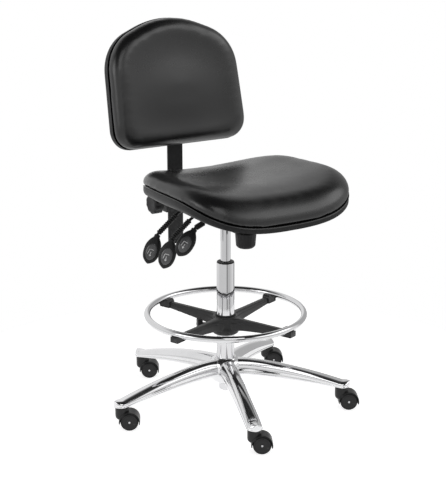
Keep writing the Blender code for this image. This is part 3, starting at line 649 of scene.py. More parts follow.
@dataclass
class Base(Assembly):
    """Five-arm cast star with its hub."""

    arms: int = 5
    reach: float = 0.3295
    first: float = 178.2
    tip: float = 0.0230
    start: float = 0.018
    arch: float = 1.65

    def section(self) -> np.ndarray:
        """One arm section as (across, up) shares.

        The line runs from the bottom edge over a small lip, up a hollowed side to a shoulder, and over a
        crown.
        """
        half = [(0.0, 0.0, 0.0), (0.80, 0.0, 0.08), (0.97, 0.05, 0.07), (1.0, 0.18, 0.06), (0.93, 0.27, 0.06),
                (0.93, 0.46, 0.10), (0.84, 0.66, 0.12), (0.56, 0.93, 0.16), (0.30, 0.985, 0.10),
                (0.0, 1.0, 0.0)]
        right = filleted(half, 4)
        left = right[::-1][1:-1] * np.array([-1.0, 1.0])
        return np.concatenate([right, left])

    def arm(self) -> np.ndarray:
        """One arm along +X: the section scaled by a half width and height that fall to a round tip.

        Returns:
            Points, places along the arm by section points by three.
        """
        straight = self.start + (self.reach - self.start) * np.linspace(0, 1, 40)
        swing = np.radians(np.linspace(6, 84, 12))
        reach = np.concatenate([straight, self.reach + self.tip * np.sin(swing)])
        share = np.clip((reach - 0.030) / (self.reach - 0.030), 0, 1)
        half = 0.0240 - 0.0010 * share
        half = np.where(reach > self.reach,
                        self.tip * np.sqrt(np.clip(1 - ((reach - self.reach) / self.tip) ** 2, 0.0, 1)), half)
        half = half + 0.012 * np.exp(-np.clip(reach - self.start, 0, None) / 0.018)
        top = 0.143 - 0.0585 * share ** self.arch
        bottom = 0.100 - 0.0335 * share ** self.arch
        line = self.section()
        across = half[:, None] * line[None, :, 0]
        up = bottom[:, None] + (top - bottom)[:, None] * line[None, :, 1]
        return np.stack([np.broadcast_to(reach[:, None], across.shape), across, up], -1)

    def boss(self) -> np.ndarray:
        """Raised pad on an arm's tip: a low disc with a rim and a dished middle."""
        return filleted([(0.0, 0.0845, 0), (0.0122, 0.0845, 0.001), (0.0136, 0.0862, 0.0012),
                         (0.0156, 0.0862, 0.0012), (0.0168, 0.0835, 0.001), (0.0168, 0.0800, 0),
                         (0.0, 0.0800, 0)], 4)

    def build(self) -> None:
        """Arms and hub as one casting."""
        star = Shell("base_casting", smooth=50)
        for index in range(self.arms):
            turn = Matrix.Rotation(radians(self.first + 360 * index / self.arms), 4, "Z")
            star.add(self.arm(), place=placed((0, 0, 0), turn))
        hub = filleted([(0.0255, 0.1470, 0), (0.0305, 0.1470, 0.002), (0.0335, 0.1435, 0.003),
                        (0.0410, 0.1390, 0.006), (0.0470, 0.1270, 0.005), (0.0465, 0.0990, 0.006),
                        (0.0350, 0.0765, 0.003), (0.0243, 0.0765, 0)], 5)
        star.turned(hub, 96, hollow=True)
        self.fit(star.done(), "base", Slot.ALUMINIUM, "base_star")
        for index in range(1, self.arms + 1):
            self.keep(f"stem_{index}", Slot.STEEL)


@dataclass
class Caster(Assembly):
    """One twin-wheel caster: hood, axle and wheels."""

    number: int = 1
    trail: float = 0.020
    heading: float = -31.0
    hub_height: float = 0.024692

    def place(self) -> Matrix:
        """The caster's frame: origin on the floor under its stem, +X the way it trails.

        Returns:
            The matrix of the frame.
        """
        base = Base(self.palette)
        turn = radians(base.first + 360 * (self.number - 1) / base.arms)
        return placed((base.reach * cos(turn), base.reach * sin(turn), 0),
                      Matrix.Rotation(radians(self.heading), 4, "Z"))

    def fender(self) -> np.ndarray:
        """Arched cover: a thin rounded section carried round the wheels' axle from rear to front.

        Returns:
            Points, turns by section points by three.
        """
        turn = np.radians(np.linspace(-14, 188, 48))
        wide, inner, outer = 0.0212, 0.0262, 0.0290
        edge = filleted([(wide, inner, 0.001), (wide, outer - 0.0006, 0.0012), (wide * 0.9, outer, 0.003),
                         (-wide * 0.9, outer, 0.003), (-wide, outer - 0.0006, 0.0012), (-wide, inner, 0.001)],
                        3, closed=True)
        across, out = edge[None, :, 0], edge[None, :, 1]
        spot = turn[:, None]
        return np.stack([self.trail + out * np.cos(spot), across + 0 * spot,
                         self.hub_height + out * np.sin(spot)], -1)

    def build(self) -> None:
        """Hood, two wheels and the kept axle."""
        place = self.place()
        body = f"caster_{self.number}"
        hood = Shell(f"hood_{self.number}_moulded")
        hood.turned(filleted([(0.0, 0.0295, 0), (0.0135, 0.0295, 0.003), (0.0178, 0.0345, 0.004),
                              (0.0187, 0.040, 0.004), (0.0187, 0.0640, 0.001), (0.0175, 0.0659, 0.0008),
                              (0.0, 0.0659, 0)], 5), 48, place=place)
        hood.add(self.fender(), place=place)
        web = place @ Matrix.Translation((self.trail, 0, self.hub_height)) @ Matrix.Rotation(-pi / 2, 4, "X")
        turn = np.radians(np.linspace(-192, 12, 40))
        rim = np.stack([0.0272 * np.cos(turn), 0.0272 * np.sin(turn)], -1)
        outline = np.concatenate([rim, [[0.012, 0.0030], [-0.012, 0.0030]]])
        sides = [np.full((len(outline), 1), z) for z in (-0.0029, 0.0029)]
        flat = np.stack([np.concatenate([outline, side], 1) for side in sides])
        hood.add(flat, place=web)
        self.fit(hood.done(), body, Slot.NYLON, f"hood_{self.number}")
        self.keep(f"axle_{self.number}", Slot.STEEL)
        for side in Side:
            self.build_wheel(side, place)

    def build_wheel(self, side: Side, place: Matrix) -> None:
        """One wheel: round shoulders, a ring groove and a shallow dished face round the axle.

        Args:
            side: Which of the two wheels.
            place: The caster's frame.
        """
        r = self.hub_height - 0.00002
        rim = filleted([(0.0030, 0.0037, 0), (0.0235, 0.0037, 0.001), (r, 0.0055, 0.0015), (r, 0.0165, 0.002),
                        (0.0232, 0.0196, 0.0015), (0.0205, 0.0200, 0.0006), (0.0200, 0.0192, 0.0004),
                        (0.0192, 0.0192, 0.0004), (0.0186, 0.0200, 0.0006), (0.0090, 0.0196, 0.002),
                        (0.0062, 0.0188, 0.0008), (0.0046, 0.0197, 0.0006), (0.0030, 0.0197, 0)], 4)
        label = side.name.lower()
        turn = Matrix.Rotation(-side.value * pi / 2, 4, "X")
        seat = place @ Matrix.Translation((self.trail, 0, self.hub_height)) @ turn
        name = f"wheel_{self.number}_{label}"
        wheel = Shell(name + "_moulded").turned(rim, 64, hollow=True, place=seat).done()
        self.fit(wheel, name, Slot.NYLON, name)


# Column

@dataclass
class Column(Assembly):
    """Outer tube, guide bush, gas cylinder and the small parts in the foot."""

    def build(self) -> None:
        """Turned pieces from the floor up."""
        outer = filleted([(0.0233, 0.4240, 0), (0.0246, 0.4240, 0.0006), (0.0250, 0.4234, 0.0006),
                          (0.0250, 0.1500, 0.002), (0.0252, 0.1472, 0.001), (0.0240, 0.0765, 0.001),
                          (0.0232, 0.0720, 0.002), (0.0190, 0.0680, 0.002), (0.0187, 0.0520, 0.002),
                          (0.0175, 0.0500, 0.001), (0.0056, 0.0500, 0), (0.0056, 0.0560, 0),
                          (0.0160, 0.0560, 0), (0.0160, 0.0700, 0), (0.0215, 0.0800, 0), (0.0230, 0.1550, 0)],
                         4)
        self.fit(Shell("column_tube_drawn").turned(outer, 128, hollow=True).done(), "base", Slot.CHROME,
                 "column_tube")
        bush = filleted([(0.0144, 0.4262, 0.0006), (0.0160, 0.4274, 0.0008), (0.0230, 0.4274, 0.0008),
                         (0.0240, 0.4262, 0.0005), (0.0240, 0.4243, 0), (0.0227, 0.4243, 0),
                         (0.0227, 0.3620, 0), (0.0144, 0.3620, 0)], 4)
        self.fit(Shell("guide_bush_moulded").turned(bush, 96, hollow=True).done(), "base", Slot.PLASTIC,
                 "guide_bush")
        body = filleted([(0.0054, 0.1950, 0), (0.0132, 0.1950, 0.0008), (0.0140, 0.1960, 0.0008),
                         (0.0140, 0.5720, 0.001), (0.0125, 0.5750, 0.001), (0.0033, 0.5750, 0),
                         (0.0033, 0.5590, 0), (0.0, 0.5590, 0), (0.0, 0.5550, 0), (0.0115, 0.5550, 0),
                         (0.0115, 0.2010, 0), (0.0054, 0.2010, 0)], 4)
        self.fit(Shell("gas_cylinder_plated").turned(body, 96, hollow=True).done(), "lift", Slot.CHROME,
                 "gas_cylinder")
        for node in ("thrust_bearing", "piston_rod", "rod_clip", "valve_button"):
            self.keep(node, Slot.STEEL)


# Footring

@dataclass
class Footring(Assembly):
    """Chromed ring on a four-spoke carrier, with its collar and clamp knob."""

    height: float = 0.2755
    radius: float = 0.2196
    tube: float = 0.0090
    spokes: int = 4
    first: float = 20.0
    top: float = 0.2700
    bottom: float = 0.2180
    knob_turn: float = 157.0
    knob_height: float = 0.2470

    def ring(self) -> np.ndarray:
        """A torus: a small circle carried round a large one.

        Returns:
            Points, large circle by small circle by three.
        """
        turn = np.arange(240)[:, None] * FULL_TURN / 240
        small = np.arange(28)[None, :] * FULL_TURN / 28
        out = self.radius + self.tube * np.cos(small)
        return np.stack([out * np.cos(turn), out * np.sin(turn),
                         self.height + self.tube * np.sin(small) + 0 * turn], -1)

    def spoke(self) -> np.ndarray:
        """A spoke along +X: a channel with a rounded crown and side ribs, its foot rising outwards.

        Returns:
            Points, places along the spoke by section points by three.
        """
        root, tip = 0.031, 0.1985
        reach = np.linspace(root, tip, 20)
        share = (reach - root) / (tip - root)
        flare = 0.010 * np.exp(-(reach - root) / 0.012)
        low = self.bottom + 0.016 + 0.018 * share - flare * 0.5
        high = self.top - 0.001
        half = 0.0085 + flare
        line = filleted([(-1.0, 0.0, 0.15), (1.0, 0.0, 0.15), (1.0, 0.62, 0.05), (0.88, 0.66, 0.05),
                         (0.88, 0.90, 0.1), (0.66, 1.0, 0.12), (-0.66, 1.0, 0.12), (-0.88, 0.90, 0.1),
                         (-0.88, 0.66, 0.05), (-1.0, 0.62, 0.05)], 3, closed=True)
        across = half[:, None] * line[None, :, 0]
        up = low[:, None] + (high - low)[:, None] * line[None, :, 1]
        return np.stack([np.broadcast_to(reach[:, None], across.shape), across, up], -1)

    def clip(self) -> np.ndarray:
        """Clip under the ring: its upper edge dips to cradle the tube and rises again inside it.

        Returns:
            Points, slices across by outline points by three.
        """
        line = filleted([(0.1945, 0.2520, 0.002), (0.2300, 0.2520, 0.003), (0.2300, 0.2690, 0.0015),
                         (0.2270, 0.2685, 0.001), (0.2196, 0.2662, 0.004), (0.2125, 0.2690, 0.003),
                         (0.2098, 0.2755, 0.002), (0.2080, 0.2765, 0.001), (0.1985, 0.2765, 0.004),
                         (0.1945, 0.2690, 0.003)], 3, closed=True)
        inset = np.array([0.0115, 0.0115, 0.0108, 0.0095])
        shrink = np.array([1.0, 1.0, 0.985, 0.955])
        middle = line.mean(0)
        rows = []
        for across, scale in zip(np.concatenate([-inset[::-1], inset]),
                                 np.concatenate([shrink[::-1], shrink])):
            spot = middle + (line - middle) * scale
            rows.append(np.stack([spot[:, 0], np.full(len(spot), across), spot[:, 1]], -1))
        return np.array(rows)

    def build(self) -> None:
        """Ring, carrier, collar and knob."""
        self.fit(Shell("footring_hoop").add(self.ring(), along=True, caps=False).done(), "footring",
                 Slot.CHROME, "footring_tube")
        carrier = Shell("footring_carrier")
        hub = filleted([(0.0287, 0.2700, 0), (0.0340, 0.2700, 0.0012), (0.0355, 0.2685, 0.0015),
                        (0.0355, 0.2410, 0.002), (0.0385, 0.2340, 0.003), (0.0385, 0.2230, 0.004),
                        (0.0335, 0.2180, 0.003), (0.0287, 0.2180, 0)], 5)
        carrier.turned(hub, 96, hollow=True)
        for index in range(self.spokes):
            turn = Matrix.Rotation(radians(self.first + 360 * index / self.spokes), 4, "Z")
            carrier.add(self.spoke(), place=placed((0, 0, 0), turn))
            carrier.add(self.clip(), place=placed((0, 0, 0), turn))
        self.fit(carrier.done(), "footring", Slot.PLASTIC, "footring_spider", material=self.palette.spider)
        collar = filleted([(0.0253, 0.2740, 0.0), (0.0276, 0.2740, 0.0008), (0.0284, 0.2732, 0.0008),
                           (0.0284, 0.2180, 0), (0.0253, 0.2180, 0)], 3)
        self.fit(Shell("footring_collar_moulded").turned(collar, 96, hollow=True).done(), "footring_collar",
                 Slot.PLASTIC, "footring_collar")
        knob = Knob(0.0195, 0.0045, 5, ((0.0655, 0.55), (0.0660, 0.80), (0.0672, 0.95), (0.0690, 1.0),
                                        (0.0775, 1.0), (0.0795, 0.95), (0.0808, 0.80), (0.0810, 0.50)),
                    (0.0040, 0.0290, 0.0700))
        turn = Matrix.Rotation(radians(self.knob_turn), 4, "Z") @ FLIP_X
        piece = knob.piece("footring_knob_moulded", placed((0, 0, self.knob_height), turn))
        self.fit(piece, "footring_knob", Slot.PLASTIC, "footring_knob")


@dataclass
class Knob:
    """A lobed hand knob about Z with a plain shank."""

    radius: float
    depth: float
    lobes: int
    levels: tuple
    shank: tuple[float, float, float]

    def piece(self, name: str, place: Matrix) -> bpy.types.Object:
        """Make the knob: the outer radius less a cosine wave of the lobes, scaled at each level.

        Args:
            name: The piece's name.
            place: The knob's frame, with Z along its screw.

        Returns:
            The new piece.
        """
        turn = np.arange(self.lobes * 16) * FULL_TURN / (self.lobes * 16)
        radius = self.radius - self.depth * (1 - np.cos(self.lobes * turn)) / 2
        levels = np.array(self.levels)
        fade = levels[:, 1:2]
        out = radius[None] * fade
        head = np.stack([out * np.cos(turn), out * np.sin(turn), levels[:, :1] + 0 * turn], -1)
        radius, low, high = self.shank
        shank = [(0.0, low), (radius * 0.8, low), (radius, low + 0.0008), (radius, high), (0.0, high)]
        return Shell(name, 50).add(head, place=place).turned(shank, 24, place=place).done()


# Control and levers

@dataclass
class Screw:
    """A button-head screw with a hexagonal recess, its head standing along its direction."""

    radius: float = 0.0050
    rise: float = 0.0026

    def add_to(self, shell: Shell, where: Vector, along: Vector) -> None:
        """Add the head: a domed disc whose middle steps down into a six-sided recess.

        Args:
            shell: The shell that gathers the screws.
            where: The middle of the head's seat, counted from the column's axis.
            along: The direction that the head faces.
        """
        profile = filleted([(0.0, -0.0004, 0), (self.radius, -0.0004, 0), (self.radius, 0.0006, 0.0006),
                            (self.radius * 0.62, self.rise, 0.0020), (self.radius * 0.46, self.rise, 0.0004),
                            (self.radius * 0.44, self.rise * 0.35, 0.0003), (0.0, self.rise * 0.30, 0)], 4)
        grid = lathe(profile, 36)
        turn = np.arange(36) * FULL_TURN / 36
        hexagon = np.cos(pi / 6) / np.cos((turn % (pi / 3)) - pi / 6)
        inner = profile[:, 0] < self.radius * 0.5
        raised = np.where(profile[inner, 1] > 0.0, 1.0, 0.0)
        grid[inner, :, :2] *= raised[:, None, None] * hexagon[None, :, None]
        shell.add(grid, place=aimed(where, along))


@dataclass
class Control(Assembly):
    """Seat control: housing, plate, shafts, spring and tension knob."""

    half: float = 0.0450
    tension_y: float = -0.100

    def spring(self) -> np.ndarray:
        """Coil spring: a wire circle carried round a helix.

        Returns:
            Points, places along the wire by circle points by three.
        """
        turn = np.linspace(0, 4 * FULL_TURN, 200)
        path = np.stack([0.0090 * np.cos(turn), 0.0090 * np.sin(turn), 0.5448 + 0.0072 * turn / FULL_TURN],
                        -1)
        return tube(path, 0.0019, 12, side=(0.0, 0.0, 1.0)) + np.array([0.0, self.tension_y, 0.0])

    def build(self) -> None:
        """Formed steel, spring, knob and screws."""
        self.softened("control_housing", "lift", Slot.POWDER)
        self.softened("seat_plate", "seat", Slot.POWDER)
        self.keep("tilt_shaft", Slot.STEEL)
        self.keep("back_shaft", Slot.STEEL)
        spring = Shell("tension_spring_wound").add(self.spring()).done()
        self.fit(spring, "lift", Slot.STEEL, "tilt_spring")
        skirt = filleted([(0.0, 0.4905, 0), (0.0200, 0.4905, 0.002), (0.0232, 0.4935, 0.003),
                          (0.0262, 0.4960, 0.003), (0.0290, 0.5310, 0.002), (0.0280, 0.5338, 0.001),
                          (0.0, 0.5338, 0)], 5)
        knob = Shell("tension_knob_moulded", 50)
        grid = lathe(skirt, 144)
        turn = np.arange(144) * FULL_TURN / 144
        band = np.clip((skirt[:, 1] - 0.4960) / 0.004, 0, 1) * np.clip((0.5300 - skirt[:, 1]) / 0.003, 0, 1)
        scallop = 1 - 0.030 * band[:, None] * np.clip(np.cos(18 * turn), 0, 1)[None] ** 0.5
        grid[..., :2] *= scallop[..., None]
        place = placed((0, self.tension_y, 0))
        knob.add(grid, place=place)
        knob.turned([(0.0, 0.530), (0.0040, 0.530), (0.0040, 0.5780), (0.0, 0.5780)], 20, place=place)
        self.fit(knob.done(), "tension_knob", Slot.PLASTIC, "tension_knob")
        screws = Shell("seat_plate_screws", 50)
        for x in (-0.064, 0.064):
            for y in (-0.112, 0.046):
                Screw().add_to(screws, Vector((x, y, 0.6000)), Vector((0, 0, -1)))
        self.fit(screws.done(), "seat", Slot.STEEL)
        side = Shell("housing_screws", 50)
        for way in (-1, 1):
            Screw(0.0036, 0.0020).add_to(side, Vector((way * self.half, -0.104, 0.5600)), Vector((way, 0, 0)))
        self.fit(side.done(), "lift", Slot.STEEL)


@dataclass
class Lever(Assembly):
    """One paddle lever: bent rod, ribbed sleeve, egg-shaped paddle with an inlay and a printed mark."""

    name: str = "height"
    y: float = 0.0
    inner: float = -0.004
    rise: float = 0.0131
    neck: float = -0.169
    rod_fall: float = 37.5
    paddle_fall: float = 69.0
    pivot_x: float = -0.04375
    height: float = 0.5720
    bend: float = -0.100
    rod: float = 0.0040
    length: float = 0.081
    half: float = 0.0230
    thick: float = 0.019
    clear: float = 0.0058
    twist: float = 40.0
    roundness: float = 0.86

    def at(self, x: float, up: float) -> np.ndarray:
        """A point of the lever's plane, from its place along X and its height over the pivot."""
        return np.array([x, self.y, self.height + up])

    def end(self) -> Vector:
        """Where the rod meets the paddle's neck."""
        return Vector(self.at(self.neck, -(self.bend - self.neck) * tan(radians(self.rod_fall))))

    def paddle_way(self) -> Vector:
        """The direction from the paddle's neck to its tip."""
        fall = radians(self.paddle_fall)
        return Vector((-cos(fall), 0, -sin(fall)))

    def frame_of_paddle(self) -> Matrix:
        """The paddle's own frame: X across, Y out of its face, Z from its neck to its tip.

        Returns:
            The matrix of the frame.
        """
        along = self.paddle_way()
        face = Matrix.Rotation(radians(self.twist), 3, along) @ Vector((0, -1, 0))
        wide = face.cross(along)
        turn = Matrix((wide, face, along)).transposed().to_4x4()
        return Matrix.Translation(AXIS + self.end() + along * self.clear) @ turn

    def egg(self, share: np.ndarray) -> np.ndarray:
        """Half width along the paddle: a short neck that swells into an egg and closes at its tip.

        Args:
            share: Places from the neck (0) to the tip (1).

        Returns:
            A half width for each place.
        """
        body = np.clip(1 - np.abs(share + share ** 0.8 - 1.12) ** 2.4, 0, None) ** 0.85
        neck = 0.0082 * (1 - np.clip(share / 0.3, 0, 1) ** 2)
        return np.sqrt((self.half * body) ** 2 + neck ** 2)

    def depth(self, share: np.ndarray) -> np.ndarray:
        """Half thickness along the paddle: fullest in the middle and thinner at the tip."""
        full = self.thick / 2 * (0.84 + 0.18 * np.sin(pi * np.clip(share * 1.05, 0, 1)))
        return full * np.sqrt(np.clip(1 - np.clip((share - 0.62) / 0.38, 0, 1) ** 2.2, 0.0, 1))

    def paddle(self) -> np.ndarray:
        """Rounded sections along the paddle: superellipses of the egg's half width and depth.

        Returns:
            Points, places along the paddle by section points by three.
        """
        share = 1 - np.cos(np.linspace(0, pi / 2, 40)) ** 1.15
        share = np.concatenate([share, [0.9995]])
        share = np.unique(np.clip(share, 0, 0.9995))
        turn = np.arange(48) * FULL_TURN / 48
        across = np.sign(np.cos(turn)) * np.abs(np.cos(turn)) ** self.roundness
        out = np.sign(np.sin(turn)) * np.abs(np.sin(turn)) ** self.roundness
        half = self.egg(share) * np.sqrt(np.clip(1 - np.clip((share - 0.80) / 0.20, 0, 1) ** 2.6, 0.0004, 1))
        return np.stack([half[:, None] * across, self.depth(share)[:, None] * out,
                         np.broadcast_to((self.length * share)[:, None], (len(share), 48))], -1)

    def face_depth(self, along: np.ndarray, across: np.ndarray) -> np.ndarray:
        """Height of the paddle's face over its middle plane at a point.

        Args:
            along: Place from the neck towards the tip.
            across: Place across the face.

        Returns:
            The height.
        """
        share = np.clip(along / self.length, 0.02, 0.98)
        half = np.maximum(self.egg(share), 1e-4)
        gone = np.clip(1 - np.abs(across / half) ** (2 / self.roundness), 0.02, 1) ** (self.roundness / 2)
        return self.depth(share) * gone

    def inlay(self) -> np.ndarray:
        """Oval plate on the face: rings that follow the face and stand a little proud of it.

        Returns:
            Points, rings by points of the oval by three.
        """
        turn = np.arange(56) * FULL_TURN / 56
        rings = np.array([(1.0, -0.0012), (1.0, 0.0004), (0.96, 0.0009), (0.80, 0.0011), (0.5, 0.0012),
                          (0.2, 0.0012), (0.02, 0.0012)])
        scale, proud = rings[:, :1], rings[:, 1:2]
        across = 0.0148 * scale * np.cos(turn)
        along = 0.046 + 0.0235 * scale * np.sin(turn)
        return np.stack([across, self.face_depth(along, across) + proud, along], -1)

    def bars(self) -> list[np.ndarray]:
        """The printed mark: a plain seat line and a back line, as thin strips over the inlay.

        Returns:
            A closed strip for each line.
        """
        strips = (((-0.0055, 0.0400), (0.0060, 0.0400)), ((-0.0055, 0.0400), (-0.0078, 0.0540)),
                  ((0.0000, 0.0460), (0.0000, 0.0580)), ((-0.0028, 0.0545), (0.0000, 0.0585)),
                  ((0.0028, 0.0545), (0.0000, 0.0585)))
        made = []
        for first, last in strips:
            way = np.array(last) - np.array(first)
            side = np.array([-way[1], way[0]]) / np.linalg.norm(way) * 0.0008
            t = np.linspace(0, 1, 8)[:, None]
            line = np.array(first) + way * t
            ring = np.stack([line - side, line + side], 1)
            low = self.face_depth(ring[..., 1], ring[..., 0])
            flat = np.concatenate([ring, ring[:, ::-1]], 1)
            up = np.concatenate([low + 0.0008, (low + 0.0015)[:, ::-1]], 1)
            made.append(np.stack([flat[..., 0], up, flat[..., 1]], -1))
        return made

    def build(self) -> None:
        """Rod, sleeve, paddle, inlay and mark, all on the lever's body."""
        body = f"{self.name}_lever"
        fall = tan(radians(self.rod_fall))
        way = self.paddle_way()
        end = np.array(self.end())
        tail = end + np.array(way) * 0.018
        inner_end, pivot = self.at(self.inner, self.rise), self.at(self.pivot_x + 0.004, 0.0)
        knee = self.at(self.bend - 0.010, -0.010 * fall)
        points = [inner_end, inner_end * 0.65 + pivot * 0.35, inner_end * 0.30 + pivot * 0.70, pivot,
                  self.at(-0.075, 0.0), self.at(self.bend + 0.012, 0.0), knee, (knee + end) / 2, end, tail]
        rod = Shell(f"{self.name}_rod_bent").add(tube(smooth_path(points, 90), self.rod, 18)).done()
        self.fit(rod, body, Slot.POWDER, f"{self.name}_rod")
        start = self.at(self.bend - 0.008, -0.008 * fall)
        along = (end - start) / np.linalg.norm(end - start)
        span = np.linalg.norm(end - start)
        first, last = span * 0.12, span - 0.0022
        t = np.linspace(0, 1, 160)
        ribs = 11
        wave = 0.5 - 0.5 * np.cos(FULL_TURN * ribs * t)
        outer = 0.0060 + 0.0019 * wave ** 0.6
        outer *= np.clip(np.minimum(t, 1 - t) / 0.015, 0, 1) ** 0.4 * 0.25 + 0.75
        profile = np.concatenate([np.stack([outer, first + (last - first) * t], -1),
                                  [[0.0043, last], [0.0043, first]]])
        sleeve = Shell(f"{self.name}_sleeve_ribbed", 30)
        sleeve.turned(profile, 28, hollow=True, place=aimed(Vector(start), Vector(along)))
        self.fit(sleeve.done(), body, Slot.RUBBER, f"{self.name}_sleeve")
        place = self.frame_of_paddle()
        paddle = Shell(f"{self.name}_paddle_moulded", 50).add(self.paddle(), place=place)
        seam = filleted([(0.0045, -0.0035, 0), (0.0070, -0.0035, 0.001), (0.0082, -0.0010, 0.001),
                         (0.0082, 0.0020, 0.001), (0.0045, 0.0020, 0)], 3)
        paddle.turned(seam, 32, hollow=True, place=place)
        self.fit(paddle.done(), body, Slot.PLASTIC, f"{self.name}_paddle")
        inlay = Shell(f"{self.name}_inlay").add(self.inlay(), place=place).done()
        self.fit(inlay, body, Slot.PLASTIC, material=self.palette.inlay)
        mark = Shell(f"{self.name}_mark")
        for strip in self.bars():
            mark.add(strip, place=place)
        self.fit(mark.done(), body, Slot.PLASTIC, material=self.palette.icon)


# Backrest

@dataclass
class Upright(Assembly):
    """Bracket, flat bar and height clamp knob."""

    bar_y: float = 0.2685

    def build(self) -> None:
        """Formed steel pieces and the knob."""
        self.softened("back_bracket", "back_arm", Slot.POWDER)
        self.softened("upright_bar", "backrest", Slot.POWDER, 0.0012)
        self.softened("back_mount", "backrest", Slot.POWDER)
        levels = ((0.0518, 0.50), (0.0522, 0.62), (0.0540, 0.90), (0.0565, 1.0), (0.0780, 1.0),
                  (0.0805, 0.96), (0.0826, 0.86), (0.0830, 0.70), (0.0822, 0.55))
        knob = Knob(0.0310, 0.0022, 10, levels, (0.0033, 0.0258, 0.0540))
        piece = knob.piece("height_knob_moulded", placed((0, self.bar_y, 0.545), FLIP_X.inverted()))
        self.fit(piece, "height_knob", Slot.PLASTIC, "height_knob")


@dataclass
class Cushion:
    """Turns a closed surface into a stuffed one."""

    voxel: float = 0.005
    pressure: float = 4.0
    frames: int = 20
    cap: float = 0.004
    voxel_turns: int = 6
    smooth_turns: int = 24

    def stuff(self, piece: bpy.types.Object, hold: np.ndarray, give: np.ndarray) -> None:
        """Remesh, inflate as cloth, hold back the covered side, and subdivide once.

        Args:
            piece: The closed cushion.
            hold: A direction, as a unit vector, in which the covered side faces.
            give: Low and high place along that direction between which the freedom to move fades.
        """
        self.remesh(piece)
        rest, out = self.read(piece), self.outward(piece)
        self.inflate(piece)
        push = np.clip(((self.read(piece) - rest) * out).sum(1, keepdims=True), 0, None)
        push = self.cap * push / (self.cap + push)
        free = np.clip((give[1] - rest @ hold) / (give[1] - give[0]), 0, 1)[:, None]
        self.write(piece, rest + out * push * free * free * (3 - 2 * free))
        self.relax(piece, self.smooth_turns)
        divide = piece.modifiers.new("finer", "SUBSURF")
        divide.levels = divide.render_levels = 1
        self.apply(piece, divide)
        piece.data.shade_smooth()

    def remesh(self, piece: bpy.types.Object) -> None:
        """Cover the piece with even squares of one voxel.

        Args:
            piece: The closed cushion.
        """
        step = piece.modifiers.new("even", "REMESH")
        step.mode = "VOXEL"
        step.voxel_size = self.voxel
        step.use_smooth_shade = True
        self.apply(piece, step)
        self.relax(piece, self.voxel_turns)

    def relax(self, piece: bpy.types.Object, turns: int) -> None:
        """Even out the steps between voxels.

        Args:
            piece: The cushion.
            turns: How many times each point moves half way to its neighbours.
        """
        step = piece.modifiers.new("even_out", "SMOOTH")
        step.factor = 0.5
        step.iterations = turns
        self.apply(piece, step)

    def inflate(self, piece: bpy.types.Object) -> None:
        """Blow the cover up by a small pressure, with no gravity.

        Args:
            piece: The remeshed cushion.
        """
        scene = bpy.context.scene
        step = piece.modifiers.new("stuffing", "CLOTH")
        settings = step.settings
        settings.quality = 4
        settings.mass = 0.3
        settings.use_pressure = True
        settings.uniform_pressure_force = self.pressure
        settings.effector_weights.gravity = 0.0
        settings.tension_stiffness = 40
        settings.compression_stiffness = 40
        settings.bending_stiffness = 6
        step.point_cache.frame_start = 1
        step.point_cache.frame_end = self.frames
        for number in range(1, self.frames + 1):
            scene.frame_set(number)
        self.apply(piece, step)
        scene.frame_set(1)

    @staticmethod
    def apply(piece: bpy.types.Object, step: bpy.types.Modifier) -> None:
        """Make a modifier's result the piece's own mesh.

        Args:
            piece: The piece.
            step: Its modifier, which is removed.
        """
        depsgraph = bpy.context.evaluated_depsgraph_get()
        mesh = bpy.data.meshes.new_from_object(piece.evaluated_get(depsgraph), depsgraph=depsgraph)
        piece.modifiers.remove(step)
        old = piece.data
        piece.data = mesh
        bpy.data.meshes.remove(old)

    @staticmethod
    def read(piece: bpy.types.Object) -> np.ndarray:
        """The piece's points.

        Args:
            piece: The piece.

        Returns:
            Points, three numbers a row.
        """
        flat = np.empty(len(piece.data.vertices) * 3, np.float32)
        piece.data.vertices.foreach_get("co", flat)
        return flat.reshape(-1, 3).astype(float)

    @staticmethod
    def outward(piece: bpy.types.Object) -> np.ndarray:
        """The outward direction at each point.

        Args:
            piece: The piece.

        Returns:
            Unit vectors, three numbers a row.
        """
        flat = np.empty(len(piece.data.vertices) * 3, np.float32)
        piece.data.vertex_normals.foreach_get("vector", flat)
        return flat.reshape(-1, 3).astype(float)

    @staticmethod
    def write(piece: bpy.types.Object, points: np.ndarray) -> None:
        """Set the piece's points."""
        piece.data.vertices.foreach_set("co", points.astype(np.float32).ravel())
        piece.data.update()


